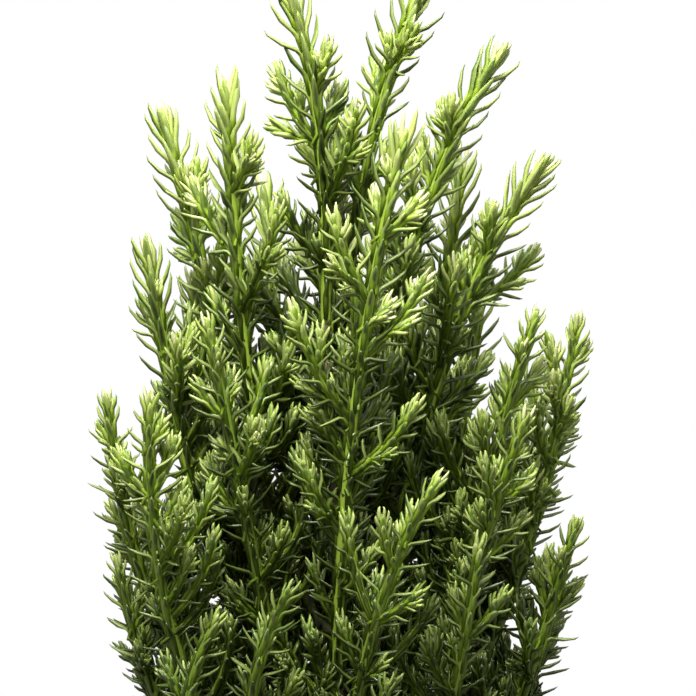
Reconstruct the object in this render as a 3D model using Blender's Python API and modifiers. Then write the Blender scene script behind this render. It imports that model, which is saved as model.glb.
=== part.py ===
"""A young Lawson cypress, 25 cm tall with its round nursery pot.

The plant is a leaning trunk, boughs that sweep out and up from it, and masses of needled shoots.
Every main shoot follows one curve from the trunk to its tip. On a long one the first part of that
curve is a bough, and the rest is the stem of a mass of foliage. On a short one the whole curve is
the stem. Each mass keeps to the space that lies nearer to its own stem than to any other.

Metres, +Z up. The origin is the centre of the pot's flat underside, and the plant's front is -Y.
"""

import math
import random

import bmesh
import bpy
import numpy as np

MM = 0.001
UP = np.array([0.0, 0.0, 1.0])
FRONT = np.array([0.0, -1.0, 0.0])

# The pot, a thin turned shell with a rolled rim and five drain holes.
POT_HEIGHT = 80 * MM
POT_RIM_RADIUS = 45 * MM
POT_FOOT_RADIUS = 32 * MM
POT_WALL = 1.4 * MM
POT_FLOOR = 2.0 * MM
RIM_BAND = 10 * MM
RIM_STEP = 2.2 * MM
RIM_ROUND = 0.6 * MM
FOOT_ROUND = 1.0 * MM
POT_SIDES = 36
DRAIN_HOLES = 5
DRAIN_RADIUS = 3.5 * MM
DRAIN_SIDES = 12
DRAIN_RING = 21 * MM
CLEAR = 0.3 * MM

# The soil ball that fills the pot. It is flat round the trunk and falls a little towards the wall.
SOIL_LEVEL = 71 * MM
SOIL_EDGE_DROP = 2.0 * MM
SOIL_FLAT_RADIUS = 12 * MM
SOIL_SHOULDER = (3 * MM, 0.6 * MM)
SOIL_SIDES = 28

# The trunk, from the soil to the foot of the leading shoot. Heights on the plant are above the soil.
TRUNK_TOP = 112 * MM
TRUNK_LEAN = (-3.5 * MM, -2.0 * MM)
TRUNK_FOOT_RADIUS = 2.6 * MM
TRUNK_TIP_RADIUS = 0.9 * MM
FLARE_RADIUS = 1.7 * MM
FLARE_HEIGHT = 3.0 * MM
TRUNK_SIDES = 10
TRUNK_RINGS = 12

# Limbs. A main shoot longer than BOUGH_FROM starts as a bough, for BOUGH_SHARE of its length.
BOUGH_FROM = 96 * MM
BOUGH_SHARE = 0.32
BOUGH_FOOT_RADIUS = 1.35 * MM
BOUGH_TIP_RADIUS = 1.0 * MM
BOUGH_SIDES = 6
BOUGH_RINGS = 7
STEM_FOOT_RADIUS = 1.0 * MM
SWEEP_OUT = 0.85
RISE_FIRST = (2 * MM, 0.14)
RISE_LAST = 0.40
LEADER_RISE = 0.33

# How many points a curve is worked out on, and a limb or a side shoot is measured at.
CURVE_POINTS = 80
LIMB_POINTS = 24
SIDE_POINTS = 12

# The foot of a limb is looked for in small steps, at so many places round its flat end.
SEARCH_STEP = 0.1 * MM
RING_TESTS = 12

# Side shoots, counted down from the tip of a stem. They stand to its right and left in turn, curve
# up towards its tip, and get longer down the stem.
SIDE_FROM_TIP = 21 * MM
SIDE_STEP = 10.5 * MM
SIDE_FROM_FOOT = 5 * MM
SIDE_LONGEST = 25 * MM
SIDE_SHORTEST = 6 * MM
SIDE_TO_TIP = 0.5
SIDE_SHRINK = 0.85
SIDE_TURN_JITTER = 26
SIDE_ANGLE = (40, 52)
SIDE_END_ANGLE = 22
SIDE_SPREAD = (0.85, 1.15)
FACE_FRONT = 0.6
SIDE_CORE_RADIUS = 0.8 * MM

# Needles, larger than life and fewer. Each is drawn out of one face of its shoot.
STEM_SIDES = 4
STEM_RADII = (0.9 * MM, 1.2 * MM, 0.8 * MM)
STEM_RING_STEP = 4.8 * MM
STEM_NEEDLE = 8.5 * MM
SIDE_SIDES = 3
SIDE_RADII = (0.5 * MM, 0.8 * MM, 0.5 * MM)
SIDE_RING_STEP = 5.0 * MM
SIDE_NEEDLE = 6.5 * MM
NEEDLE_FROM_FOOT = 2 * MM
NEEDLE_ANGLE = 42
TIP_SPIKE = 4 * MM

# The space of a mass ends this far short of its neighbours' and of any limb.
SPACE_MARGIN = 0.55 * MM
LIMB_MARGIN = 0.75 * MM
SOIL_MARGIN = 2 * MM

# The main shoots that show from the front: tip across, deep and high, the tip's lean across and
# deep for each unit it rises, and the height of its foot on the trunk, in millimetres. Last comes
# the side of its uppermost side shoot: 1 to the right, -1 to the left.
FRONT_SHOOTS = {
    "leader": (-11.5, -4, 174, -0.45, 0.0, 112, 1),
    "twin_leader": (16, 9, 177, 0.5, 0.0, 84, -1),
    "front_main": (11, -27, 149.5, 0.27, 0.0, 13, 1),
    "left_spire": (-21, -9, 157, -0.04, 0.0, 52, 1),
    "right_spire": (29, 7, 162, 0.7, 0.1, 58, -1),
    "right_arm": (37, -1, 142, 0.85, 0.0, 46, -1),
    "left_back_spire": (-34, 13, 151, -0.32, 0.1, 48, 1),
    "left_high": (-36, 1, 128, -0.16, 0.0, 40, -1),
    "left_middle": (-25, -22, 117, -0.25, -0.05, 27, -1),
    "left_front": (-34, -25, 104, 0.04, -0.05, 18, -1),
    "low_centre": (18, -38, 91, 0.7, -0.1, 4.5, -1),
    "right_front": (23.5, -33, 80, 0.12, -0.15, 10.5, 1),
    "right_middle": (33, -19, 100, 0.4, -0.1, 19, -1),
    "far_right": (43, 8, 115, 0.2, 0.05, 25, -1),
    "right_high": (35, -8, 117, 0.35, 0.0, 33, 1),
    "low_left": (-7.5, -39, 72, 0.7, -0.2, 8.2, -1),
    "low_left_front": (-20, -36, 67, 0.7, -0.1, 4.2, -1),
    "low_front": (8, -42, 57, 0.25, -0.2, 2, 1),
    "low_left_edge": (-41, -15, 74, -0.2, -0.1, 12.5, 1),
    "low_right_edge": (42, -10, 80, 0.3, -0.1, 6.5, 1),
    "skirt_left": (-41, -9, 37, -0.4, -0.1, 2.5, -1),
    "skirt_right": (34, -27, 43, 0.3, -0.3, 2, 1),
    "left_edge": (-43, -6, 102, -0.12, -0.05, 22.3, 1),
}

# The back of the crown, in tiers: tip height, reach, compass angles from +X, and height of the foot.
BACK_TIERS = (
    (156, 22, (96,), 56),
    (143, 33, (48, 118), 42),
    (121, 39, (48, 94, 138), 31),
    (96, 43, (36, 84, 130, 176), 19),
    (70, 44, (22, 70, 116, 158), 10),
    (44, 42, (6, 60, 110, 168), 4.2),
)
BACK_LEAN = 0.22
TIER_STEP = 5
FOOT_STEP = 2.2


class Path:
    """A curve through points, measured along its length."""

    def __init__(self, points):
        self.points = np.asarray(points, float)
        steps = np.linalg.norm(np.diff(self.points, axis=0), axis=1)
        self.along = np.concatenate([[0.0], np.cumsum(steps)])
        self.length = self.along[-1]

    def at(self, distance):
        return np.array([np.interp(distance, self.along, self.points[:, k]) for k in range(3)])

    def heading(self, distance):
        step = 0.5 * MM
        return unit(self.at(distance + step) - self.at(distance - step))

    def part(self, start, end, count):
        return Path([self.at(d) for d in np.linspace(start, end, count)])


def unit(vector):
    return vector / np.linalg.norm(vector)


def bezier(p0, p1, p2, p3, count=CURVE_POINTS):
    t = np.linspace(0, 1, count)[:, None]
    return Path((1 - t) ** 3 * p0 + 3 * (1 - t) ** 2 * t * p1 + 3 * (1 - t) * t**2 * p2 + t**3 * p3)


# Places of the limbs


def trunk_centre(height):
    """The trunk's centre line leans a little more the higher it is."""
    rise = (height / TRUNK_TOP) ** 2
    return np.array([TRUNK_LEAN[0] * rise, TRUNK_LEAN[1] * rise, SOIL_LEVEL + height])


def trunk_radius(height):
    taper = TRUNK_FOOT_RADIUS + (TRUNK_TIP_RADIUS - TRUNK_FOOT_RADIUS) * height / TRUNK_TOP
    return taper + FLARE_RADIUS * math.exp(-height / FLARE_HEIGHT)


def main_shoots():
    """Every main shoot by name, as (tip, lean, foot height, first side), in metres."""
    rows = dict(FRONT_SHOOTS)
    for tip_height, reach, angles, foot in BACK_TIERS:
        for place, degrees in enumerate(angles):
            across, deep = math.cos(math.radians(degrees)), math.sin(math.radians(degrees))
            name = f"back_{tip_height}_{place + 1}"
            rows[name] = (
                reach * across,
                reach * deep,
                tip_height - TIER_STEP * (place % 2),
                BACK_LEAN * across,
                BACK_LEAN * deep,
                foot + FOOT_STEP * place,
                1 - 2 * (place % 2),
            )
    return {
        name: (
            np.array([x * MM, y * MM, SOIL_LEVEL + z * MM]),
            unit(np.array([lean_x, lean_y, 1.0])),
            foot * MM,
            first_side,
        )
        for name, (x, y, z, lean_x, lean_y, foot, first_side) in rows.items()
    }


def shoot_curve(name, tip, lean, foot):
    """The whole curve of a main shoot, from the trunk's centre line to the tip."""
    start = trunk_centre(foot)
    rise = tip[2] - start[2]
    if name == "leader":
        return bezier(start, start + UP * LEADER_RISE * rise, tip - lean * LEADER_RISE * rise, tip)
    below_tip = tip - lean * RISE_LAST * rise
    outward = (below_tip - start) * [SWEEP_OUT, SWEEP_OUT, 0]
    first_rise = RISE_FIRST[0] + RISE_FIRST[1] * rise
    return bezier(start, start + outward + UP * first_rise, below_tip, tip)


def clear_of_trunk(curve, radius):
    """How far along the curve a limb's flat end stands CLEAR of the trunk all round."""
    distance = 0.0
    while distance < curve.length:
        point, heading = curve.at(distance), curve.heading(distance)
        side = unit(np.cross(heading, UP))
        over = np.cross(side, heading)
        ring = [
            point + radius * (math.cos(a) * side + math.sin(a) * over)
            for a in np.linspace(0, 2 * math.pi, RING_TESTS)
        ]
        gaps = [
            math.dist(p[:2], trunk_centre(p[2] - SOIL_LEVEL)[:2]) - trunk_radius(p[2] - SOIL_LEVEL)
            for p in ring
        ]
        if min(gaps) > CLEAR:
            return distance
        distance += SEARCH_STEP
    raise ValueError("the curve never leaves the trunk")


def plan_limbs():
    """(boughs, stems): each a Path by the main shoot's name."""
    boughs, stems = {}, {}
    for name, (tip, lean, foot, _) in main_shoots().items():
        curve = shoot_curve(name, tip, lean, foot)
        if name == "leader":
            start = CLEAR
        elif curve.length < BOUGH_FROM:
            start = clear_of_trunk(curve, STEM_FOOT_RADIUS)
        else:
            end = curve.length * BOUGH_SHARE
            boughs[name] = curve.part(clear_of_trunk(curve, BOUGH_FOOT_RADIUS), end, LIMB_POINTS)
            start = end + CLEAR
        stems[name] = curve.part(start, curve.length, LIMB_POINTS)
    return boughs, stems


BOUGHS, STEMS = plan_limbs()
FIRST_SIDES = {name: row[3] for name, row in main_shoots().items()}
BOUGH_POINTS = np.concatenate([bough.points for bough in BOUGHS.values()])
TRUNK_HEIGHTS = np.linspace(0, TRUNK_TOP, CURVE_POINTS)
TRUNK_POINTS = np.array([trunk_centre(h) for h in TRUNK_HEIGHTS])
TRUNK_RADII = np.array([trunk_radius(h) for h in TRUNK_HEIGHTS])


def nearest(points, others, less=0.0):
    """For each point the distance to the nearest of the others, less what each other takes up."""
    apart = np.linalg.norm(points[:, None] - others[None], axis=2)
    return (apart - less).min(axis=1)


def in_own_space(name, points, margin=SPACE_MARGIN):
    """True if all the points lie in the space of one mass, clear of every limb and of the soil."""
    points = np.asarray(points)
    others = np.concatenate([stem.points for other, stem in STEMS.items() if other != name])
    spare = (nearest(points, others) - nearest(points, STEMS[name].points)) / 2
    off_boughs = nearest(points, BOUGH_POINTS) - BOUGH_FOOT_RADIUS
    off_trunk = nearest(points, TRUNK_POINTS, TRUNK_RADII)
    off_soil = points[:, 2] - SOIL_LEVEL
    room = (
        spare.min() - margin,
        off_boughs.min() - LIMB_MARGIN,
        off_trunk.min() - LIMB_MARGIN,
        off_soil.min() - SOIL_MARGIN,
    )
    return min(room) > 0


# Shapes


def material(name, color, roughness):
    made = bpy.data.materials.new(name)
    made.use_nodes = True
    shader = made.node_tree.nodes["Principled BSDF"]
    shader.inputs["Base Color"].default_value = (*color, 1)
    shader.inputs["Roughness"].default_value = roughness
    shader.inputs["Metallic"].default_value = 0.0
    return made


def place(obj, collection, finish):
    collection.objects.link(obj)
    obj.data.materials.append(finish)
    return obj


def limb_mesh(name, path, radii, sides):
    """A tapering tube along the path with flat ends, made as a curve and turned into a mesh."""
    curve = bpy.data.curves.new(name, "CURVE")
    curve.dimensions = "3D"
    curve.bevel_depth = 1.0
    curve.bevel_resolution = sides // 2 - 2
    curve.use_fill_caps = True
    spline = curve.splines.new("POLY")
    spline.points.add(len(path) - 1)
    for point, place_at, radius in zip(spline.points, path, radii):
        point.co = (*place_at, 1)
        point.radius = radius
    guide = bpy.data.objects.new(name + "_guide", curve)
    bpy.context.scene.collection.objects.link(guide)
    graph = bpy.context.evaluated_depsgraph_get()
    mesh = bpy.data.meshes.new_from_object(guide.evaluated_get(graph))
    bpy.data.objects.remove(guide)
    bpy.data.curves.remove(curve)
    shape = bmesh.new()
    shape.from_mesh(mesh)
    bmesh.ops.remove_doubles(shape, verts=shape.verts, dist=0.01 * MM)
    bmesh.ops.recalc_face_normals(shape, faces=shape.faces)
    shape.to_mesh(mesh)
    shape.free()
    mesh.name = name
    return mesh


def turned(name, profile, sides, collection, finish):
    """A shape turned about the Z axis from a closed profile of (radius, height), outer side first."""
    shape = bmesh.new()
    corners = [shape.verts.new((radius, 0, height)) for radius, height in profile]
    for first, second in zip(corners, corners[1:]):
        shape.edges.new((first, second))
    mesh = bpy.data.meshes.new(name)
    shape.to_mesh(mesh)
    shape.free()
    obj = place(bpy.data.objects.new(name, mesh), collection, finish)
    screw = obj.modifiers.new("turn", "SCREW")
    screw.steps = screw.render_steps = sides
    screw.use_merge_vertices = True
    screw.merge_threshold = 0.01 * MM
    screw.use_smooth_shade = False
    return obj


def ring_places(path, distance, radius, sides):
    """Where the corners of a tube's ring lie round its path."""
    heading = path.heading(distance)
    across = unit(np.cross(heading, UP + 2 * FRONT))
    over = np.cross(across, heading)
    turns = (np.arange(sides) + 0.5) * 2 * math.pi / sides
    return [path.at(distance) + radius * (math.cos(t) * across + math.sin(t) * over) for t in turns]


def needled_shoot(name, path, radii, sides, step, needle_length):
    """A closed tube along the path whose faces, in turn, are drawn out into needles."""
    shape = bmesh.new()
    rings = max(3, round(path.length / step) + 1)
    distances = np.linspace(0, path.length, rings)
    widths = np.interp(distances, (0, path.length / 2, path.length), radii)
    bmesh.ops.create_circle(shape, cap_ends=True, segments=sides, radius=MM)
    shape.faces.ensure_lookup_table()
    end = shape.faces[0]
    for corner, spot in zip(end.verts, ring_places(path, 0, widths[0], sides)):
        corner.co = spot
    drawn = []
    for ring in range(1, rings):
        end = bmesh.ops.extrude_discrete_faces(shape, faces=[end])["faces"][0]
        for corner, spot in zip(end.verts, ring_places(path, distances[ring], widths[ring], sides)):
            corner.co = spot
        middle = (distances[ring - 1] + distances[ring]) / 2
        if distances[ring - 1] < NEEDLE_FROM_FOOT:
            continue
        walls = [next(f for f in edge.link_faces if f != end) for edge in end.edges]
        drawn += [(wall, middle) for place_round, wall in enumerate(walls) if (place_round + ring) % 2]
    bmesh.ops.holes_fill(shape, edges=[e for e in shape.edges if e.is_boundary], sides=sides)
    for wall, distance in drawn:
        centre, heading = np.array(wall.calc_center_median()), path.heading(distance)
        away = unit(centre - path.at(distance))
        angle = math.radians(NEEDLE_ANGLE)
        point = centre + needle_length * (math.cos(angle) * heading + math.sin(angle) * away)
        if in_own_space(name, np.linspace(centre, point, 6)[1:]):
            bmesh.ops.poke(shape, faces=[wall])["verts"][0].co = point
    tip = bmesh.ops.poke(shape, faces=[end])["verts"][0]
    tip.co = path.at(path.length) + TIP_SPIKE * path.heading(path.length)
    bmesh.ops.recalc_face_normals(shape, faces=shape.faces)
    mesh = bpy.data.meshes.new(name)
    shape.to_mesh(mesh)
    shape.free()
    return mesh


# The rule that a mass grows by


def spray_frame(name, distance):
    """(heading, side, face) of a mass's stem: side lies in the plane of its spray, face out of it."""
    point, heading = STEMS[name].at(distance), STEMS[name].heading(distance)
    outward = point - trunk_centre(0)
    outward = unit(outward * [1, 1, 0]) + FACE_FRONT * FRONT
    side = unit(np.cross(heading, outward))
    return heading, side, np.cross(side, heading)


def side_shoots(name):
    """The side shoots of a mass, from its tip down, as curves. Each is shortened until it fits."""
    chance = random.Random(name)
    stem = STEMS[name]
    hand = FIRST_SIDES[name]
    shoots = []
    below_tip = SIDE_FROM_TIP
    while below_tip < stem.length - SIDE_FROM_FOOT:
        turn = math.radians(chance.uniform(-SIDE_TURN_JITTER, SIDE_TURN_JITTER))
        angle = math.radians(chance.uniform(*SIDE_ANGLE))
        length = min(SIDE_LONGEST, SIDE_TO_TIP * below_tip) * chance.uniform(*SIDE_SPREAD)
        foot = stem.length - below_tip
        heading, side, face = spray_frame(name, foot)
        away = hand * math.cos(turn) * side + math.sin(turn) * face
        while length > SIDE_SHORTEST:
            curve = rising_curve(stem.at(foot), heading, away, angle, length)
            if in_own_space(name, curve.points[2:], SIDE_CORE_RADIUS + SPACE_MARGIN):
                shoots.append(curve)
                break
            length *= SIDE_SHRINK
        below_tip += SIDE_STEP * chance.uniform(*SIDE_SPREAD)
        hand = -hand
    return shoots


def rising_curve(foot, heading, away, angle, length):
    """A shoot that leaves its stem at the angle and bends up to SIDE_END_ANGLE."""
    end_angle = math.radians(SIDE_END_ANGLE)
    knee = foot + length / 2 * (math.cos(angle) * heading + math.sin(angle) * away)
    end = knee + length / 2 * (math.cos(end_angle) * heading + math.sin(end_angle) * away)
    return bezier(foot, (foot + 2 * knee) / 3, (end + 2 * knee) / 3, end, SIDE_POINTS)


def mass_pieces(name):
    """The meshes that a mass is fused from: its stem and its side shoots, with their needles."""
    stem = needled_shoot(name, STEMS[name], STEM_RADII, STEM_SIDES, STEM_RING_STEP, STEM_NEEDLE)
    shoots = [
        needled_shoot(name, curve, SIDE_RADII, SIDE_SIDES, SIDE_RING_STEP, SIDE_NEEDLE)
        for curve in side_shoots(name)
    ]
    return [stem, *shoots]


def fuse(name, pieces, collection, finish):
    """One solid from overlapping pieces, the first of which gives the object."""
    whole = place(bpy.data.objects.new(name, pieces[0]), collection, finish)
    loose = bpy.data.collections.new(name + "_pieces")
    bpy.context.scene.collection.children.link(loose)
    for number, mesh in enumerate(pieces[1:]):
        loose.objects.link(bpy.data.objects.new(f"{name}_piece_{number}", mesh))
    join = whole.modifiers.new("fuse", "BOOLEAN")
    join.operation = "UNION"
    join.operand_type = "COLLECTION"
    join.collection = loose
    graph = bpy.context.evaluated_depsgraph_get()
    fused = bpy.data.meshes.new_from_object(whole.evaluated_get(graph))
    whole.modifiers.clear()
    whole.data = fused
    fused.name = name
    for obj in list(loose.objects):
        bpy.data.objects.remove(obj)
    bpy.data.collections.remove(loose)
    return whole


# Sub-parts


def make_pot(collection, cutters, finish):
    """A tapered shell with a stepped rim band, its drain holes cut through the floor."""
    rim_foot = POT_HEIGHT - RIM_BAND
    outer = POT_RIM_RADIUS - RIM_STEP
    slope = (outer - POT_FOOT_RADIUS) / rim_foot
    inner_foot = POT_FOOT_RADIUS - POT_WALL + slope * POT_FLOOR
    profile = [
        (0, POT_FLOOR),
        (inner_foot, POT_FLOOR),
        (outer - POT_WALL, rim_foot),
        (POT_RIM_RADIUS - POT_WALL, rim_foot + RIM_STEP),
        (POT_RIM_RADIUS - POT_WALL, POT_HEIGHT - RIM_ROUND),
        (POT_RIM_RADIUS - POT_WALL / 2, POT_HEIGHT),
        (POT_RIM_RADIUS, POT_HEIGHT - RIM_ROUND),
        (POT_RIM_RADIUS, rim_foot + RIM_ROUND),
        (outer, rim_foot),
        (POT_FOOT_RADIUS, FOOT_ROUND),
        (POT_FOOT_RADIUS - FOOT_ROUND, 0),
        (0, 0),
    ]
    pot = turned("pot", profile, POT_SIDES, collection, finish)
    for number in range(DRAIN_HOLES):
        turn = 2 * math.pi * number / DRAIN_HOLES
        bpy.ops.mesh.primitive_cylinder_add(
            vertices=DRAIN_SIDES,
            radius=DRAIN_RADIUS,
            depth=3 * POT_FLOOR,
            location=(DRAIN_RING * math.cos(turn), DRAIN_RING * math.sin(turn), POT_FLOOR / 2),
        )
        drain = bpy.context.active_object
        drain.name = f"drain_cutter_{number + 1}"
        drain.display_type = "WIRE"
        drain.hide_render = True
        for owner in list(drain.users_collection):
            owner.objects.unlink(drain)
        cutters.objects.link(drain)
    cut = pot.modifiers.new("drain holes", "BOOLEAN")
    cut.operation = "DIFFERENCE"
    cut.operand_type = "COLLECTION"
    cut.collection = cutters


def make_soil(collection, finish):
    """The soil ball: it fills the pot CLEAR of the wall, and is flat round the trunk's foot."""
    rim_foot = POT_HEIGHT - RIM_BAND
    outer = POT_RIM_RADIUS - RIM_STEP
    slope = (outer - POT_FOOT_RADIUS) / rim_foot
    floor = POT_FLOOR + CLEAR
    foot_radius = POT_FOOT_RADIUS - POT_WALL + slope * floor - 2 * CLEAR
    edge_height = SOIL_LEVEL - SOIL_EDGE_DROP
    edge_radius = POT_FOOT_RADIUS - POT_WALL + slope * edge_height - 2 * CLEAR
    profile = [
        (0, SOIL_LEVEL - CLEAR),
        (SOIL_FLAT_RADIUS, SOIL_LEVEL - CLEAR),
        (edge_radius - SOIL_SHOULDER[0], edge_height + SOIL_SHOULDER[1]),
        (edge_radius, edge_height),
        (foot_radius, floor),
        (0, floor),
    ]
    turned("soil", profile, SOIL_SIDES, collection, finish)


def make_trunk(collection, finish):
    """The trunk, cut flat at the soil, with its rings closer together in the root flare."""
    heights = TRUNK_TOP * np.linspace(0, 1, TRUNK_RINGS) ** 2
    points = [trunk_centre(h) for h in heights]
    radii = [trunk_radius(h) for h in heights]
    mesh = limb_mesh("trunk", points, radii, TRUNK_SIDES)
    place(bpy.data.objects.new("trunk", mesh), collection, finish)


def make_boughs(collection, finish):
    for name, path in BOUGHS.items():
        points = path.part(0, path.length, BOUGH_RINGS).points
        radii = np.linspace(BOUGH_FOOT_RADIUS, BOUGH_TIP_RADIUS, BOUGH_RINGS)
        mesh = limb_mesh("bough_" + name, points, radii, BOUGH_SIDES)
        place(bpy.data.objects.new("bough_" + name, mesh), collection, finish)


def make_foliage(collection, finish):
    for name in STEMS:
        fuse("foliage_" + name, mass_pieces(name), collection, finish)


def main():
    for obj in list(bpy.data.objects):
        bpy.data.objects.remove(obj)
    plant = bpy.data.collections.new("lawson_cypress")
    cutters = bpy.data.collections.new("cutters")
    for collection in (plant, cutters):
        bpy.context.scene.collection.children.link(collection)
    make_pot(plant, cutters, material("pot", (0.035, 0.036, 0.038), 0.5))
    make_soil(plant, material("soil", (0.045, 0.028, 0.018), 0.95))
    bark = material("bark", (0.16, 0.09, 0.05), 0.85)
    make_trunk(plant, bark)
    make_boughs(plant, bark)
    make_foliage(plant, material("foliage", (0.10, 0.16, 0.035), 0.55))


main()
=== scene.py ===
# %% [markdown]
# This lesson dresses a young Lawson cypress that stands in its nursery pot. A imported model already
# holds every limb and mass at its real size. The cells below load it, light it, and then grow the
# fine parts that a close look needs: stems, twigs, buds and thousands of single needles.

# %% Load the fixed frame
import math
import random
from collections import namedtuple
from itertools import cycle

import bmesh
import bpy
import numpy as np
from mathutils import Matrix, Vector, noise


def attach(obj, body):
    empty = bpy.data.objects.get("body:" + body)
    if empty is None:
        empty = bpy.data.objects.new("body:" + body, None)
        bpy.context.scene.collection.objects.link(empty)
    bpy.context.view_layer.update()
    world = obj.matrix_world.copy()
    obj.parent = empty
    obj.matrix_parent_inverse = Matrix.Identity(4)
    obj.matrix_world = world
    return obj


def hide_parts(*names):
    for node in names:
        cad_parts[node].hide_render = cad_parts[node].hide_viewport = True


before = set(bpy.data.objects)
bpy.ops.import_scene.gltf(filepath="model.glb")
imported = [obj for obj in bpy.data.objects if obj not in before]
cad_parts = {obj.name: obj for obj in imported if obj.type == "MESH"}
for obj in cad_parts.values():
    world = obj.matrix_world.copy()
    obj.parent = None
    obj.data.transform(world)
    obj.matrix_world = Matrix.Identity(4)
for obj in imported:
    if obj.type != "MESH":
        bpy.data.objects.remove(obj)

MM = 0.001
UP = np.array([0.0, 0.0, 1.0])
FRONT = np.array([0.0, -1.0, 0.0])
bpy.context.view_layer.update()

# %% [markdown]
# The camera comes first, because everything is judged through it. The plant was photographed from
# close by with a long lens, looking down a little, so that the pot is below the picture. A long
# lens is a narrow angle: the wanted width at the plant and the distance give the focal length.

# %% Set up the camera
VIEW_TARGET = np.array([0.5, 0.0, 178.6]) * MM
VIEW_DISTANCE = 700 * MM
VIEW_WIDTH = 125.3 * MM
VIEW_RAISED = math.radians(4.5)
SENSOR_WIDTH = 36.0
CLIP_START = 0.01


def link(obj):
    bpy.context.scene.collection.objects.link(obj)
    return obj


lens = bpy.data.cameras.new("camera")
lens.sensor_width = SENSOR_WIDTH
lens.lens = SENSOR_WIDTH * VIEW_DISTANCE / VIEW_WIDTH
lens.clip_start = CLIP_START
camera = link(bpy.data.objects.new("camera", lens))
back = np.array([0.0, -math.cos(VIEW_RAISED), math.sin(VIEW_RAISED)])
camera.location = VIEW_TARGET + VIEW_DISTANCE * back
camera.rotation_euler = (math.pi / 2 - VIEW_RAISED, 0, 0)
bpy.context.scene.camera = camera
print("focal length in mm:", round(lens.lens, 1))

# %% [markdown]
# The studio is a white sweep. Rays from the camera that miss the plant see pure white, while the
# light that the same white gives to the plant is set apart and lower, so that the heart of the
# crown can go dark. A soft lamp stands high in front, a little to the left, a weaker one to the
# right, and a third behind, so that the back is lit too. The small helpers that place shader nodes
# here serve every finish below.

# %% Light the studio
SWEEP_ABOVE = 0.74
SWEEP_BELOW = 0.06
SWEEP_FALL = (-0.3, 0.7)
SWEEP_COLOR = (1, 1, 0.97, 1)
WHITE = (1, 1, 1, 1)

# Each lamp's place, the height on the plant's axis that it looks at, its width, watts and colour.
LAMPS = {
    "key_lamp": ((-0.055, -0.175, 0.46), 0.23, 0.14, 2.9, (1, 0.98, 0.97)),
    "side_lamp": ((0.5, -0.1, 0.62), 0.22, 0.3, 1.0, (0.97, 0.99, 1)),
    "rim_lamp": ((-0.2, 0.35, 0.6), 0.22, 0.25, 1.7, (1, 1, 1)),
}


def feed(tree, inputs, values):
    """Gives each input named a plain value, or joins it to the socket that feeds it."""
    for name, value in values.items():
        if isinstance(value, bpy.types.NodeSocket):
            tree.links.new(value, inputs[name])
        else:
            inputs[name].default_value = value


def node(tree, kind, values=None, **settings):
    """A new shader node. Its settings come first, because its inputs can depend on them."""
    made = tree.nodes.new("ShaderNode" + kind)
    for name, setting in settings.items():
        setattr(made, name, setting)
    feed(tree, made.inputs, values or {})
    return made


def ranged(tree, value, start, end=(0, 1), **settings):
    """The value carried from one range to another."""
    limits = {"From Min": start[0], "From Max": start[1], "To Min": end[0], "To Max": end[1]}
    return node(tree, "MapRange", {"Value": value, **limits}, **settings).outputs["Result"]


def by_ray(tree, output, lighting, seen):
    """Lights the scene with one shader and shows the camera the other."""
    rays = node(tree, "LightPath").outputs["Is Camera Ray"]
    choose = node(tree, "MixShader", {"Fac": rays, 1: lighting, 2: seen})
    node(tree, output, {"Surface": choose.outputs["Shader"]})


def lamp(name, place, aim, size, watts, color):
    light = bpy.data.lights.new(name, "AREA")
    light.shape = "DISK"
    light.size = size
    light.energy = watts
    light.color = color
    obj = link(bpy.data.objects.new(name, light))
    obj.location = place
    toward = Vector((0, 0, aim)) - obj.location
    obj.rotation_euler = toward.to_track_quat("-Z", "Y").to_euler()
    obj.visible_camera = False


world = bpy.data.worlds.new("studio")
world.use_nodes = True
bpy.context.scene.world = world
tree = world.node_tree
tree.nodes.clear()
seen = node(tree, "Background", {"Color": WHITE})
direction = node(tree, "TexCoord").outputs["Generated"]
height = node(tree, "SeparateXYZ", {"Vector": direction}).outputs["Z"]
strength = ranged(tree, height, SWEEP_FALL, (SWEEP_BELOW, SWEEP_ABOVE))
given = node(tree, "Background", {"Color": SWEEP_COLOR, "Strength": strength})
by_ray(tree, "OutputWorld", given.outputs["Background"], seen.outputs["Background"])
for name, values in LAMPS.items():
    lamp(name, *values)
bpy.context.scene.view_settings.view_transform = "Standard"
bpy.context.scene.view_settings.look = "None"
print("lamps:", ", ".join(LAMPS))

# %% [markdown]
# The floor is a pale disc that only carries the pot's shadow. It is kept small enough that the main
# view, which looks almost level, passes over it and meets plain white. Towards its edge it fades to
# the same white, so that no other view shows where it ends. What it gives back to the plant is
# dimmer than what the camera sees of it, so that the foot of the crown stays dark.

# %% Lay the floor
FLOOR_RADIUS = 0.6
FLOOR_SIDES = 96
FLOOR_FADE = (0.1, 0.45)
FLOOR_COLOR = (0.86, 0.86, 0.85, 1)
FLOOR_ROUGHNESS = 0.7
FLOOR_BOUNCE = (0.2, 0.2, 0.19, 1)


def new_material(name):
    made = bpy.data.materials.new(name)
    made.use_nodes = True
    made.node_tree.nodes.clear()
    return made, made.node_tree


def mesh_of(shape, name):
    """The mesh of a finished bmesh, which is freed."""
    mesh = bpy.data.meshes.new(name)
    shape.to_mesh(mesh)
    shape.free()
    return mesh


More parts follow.
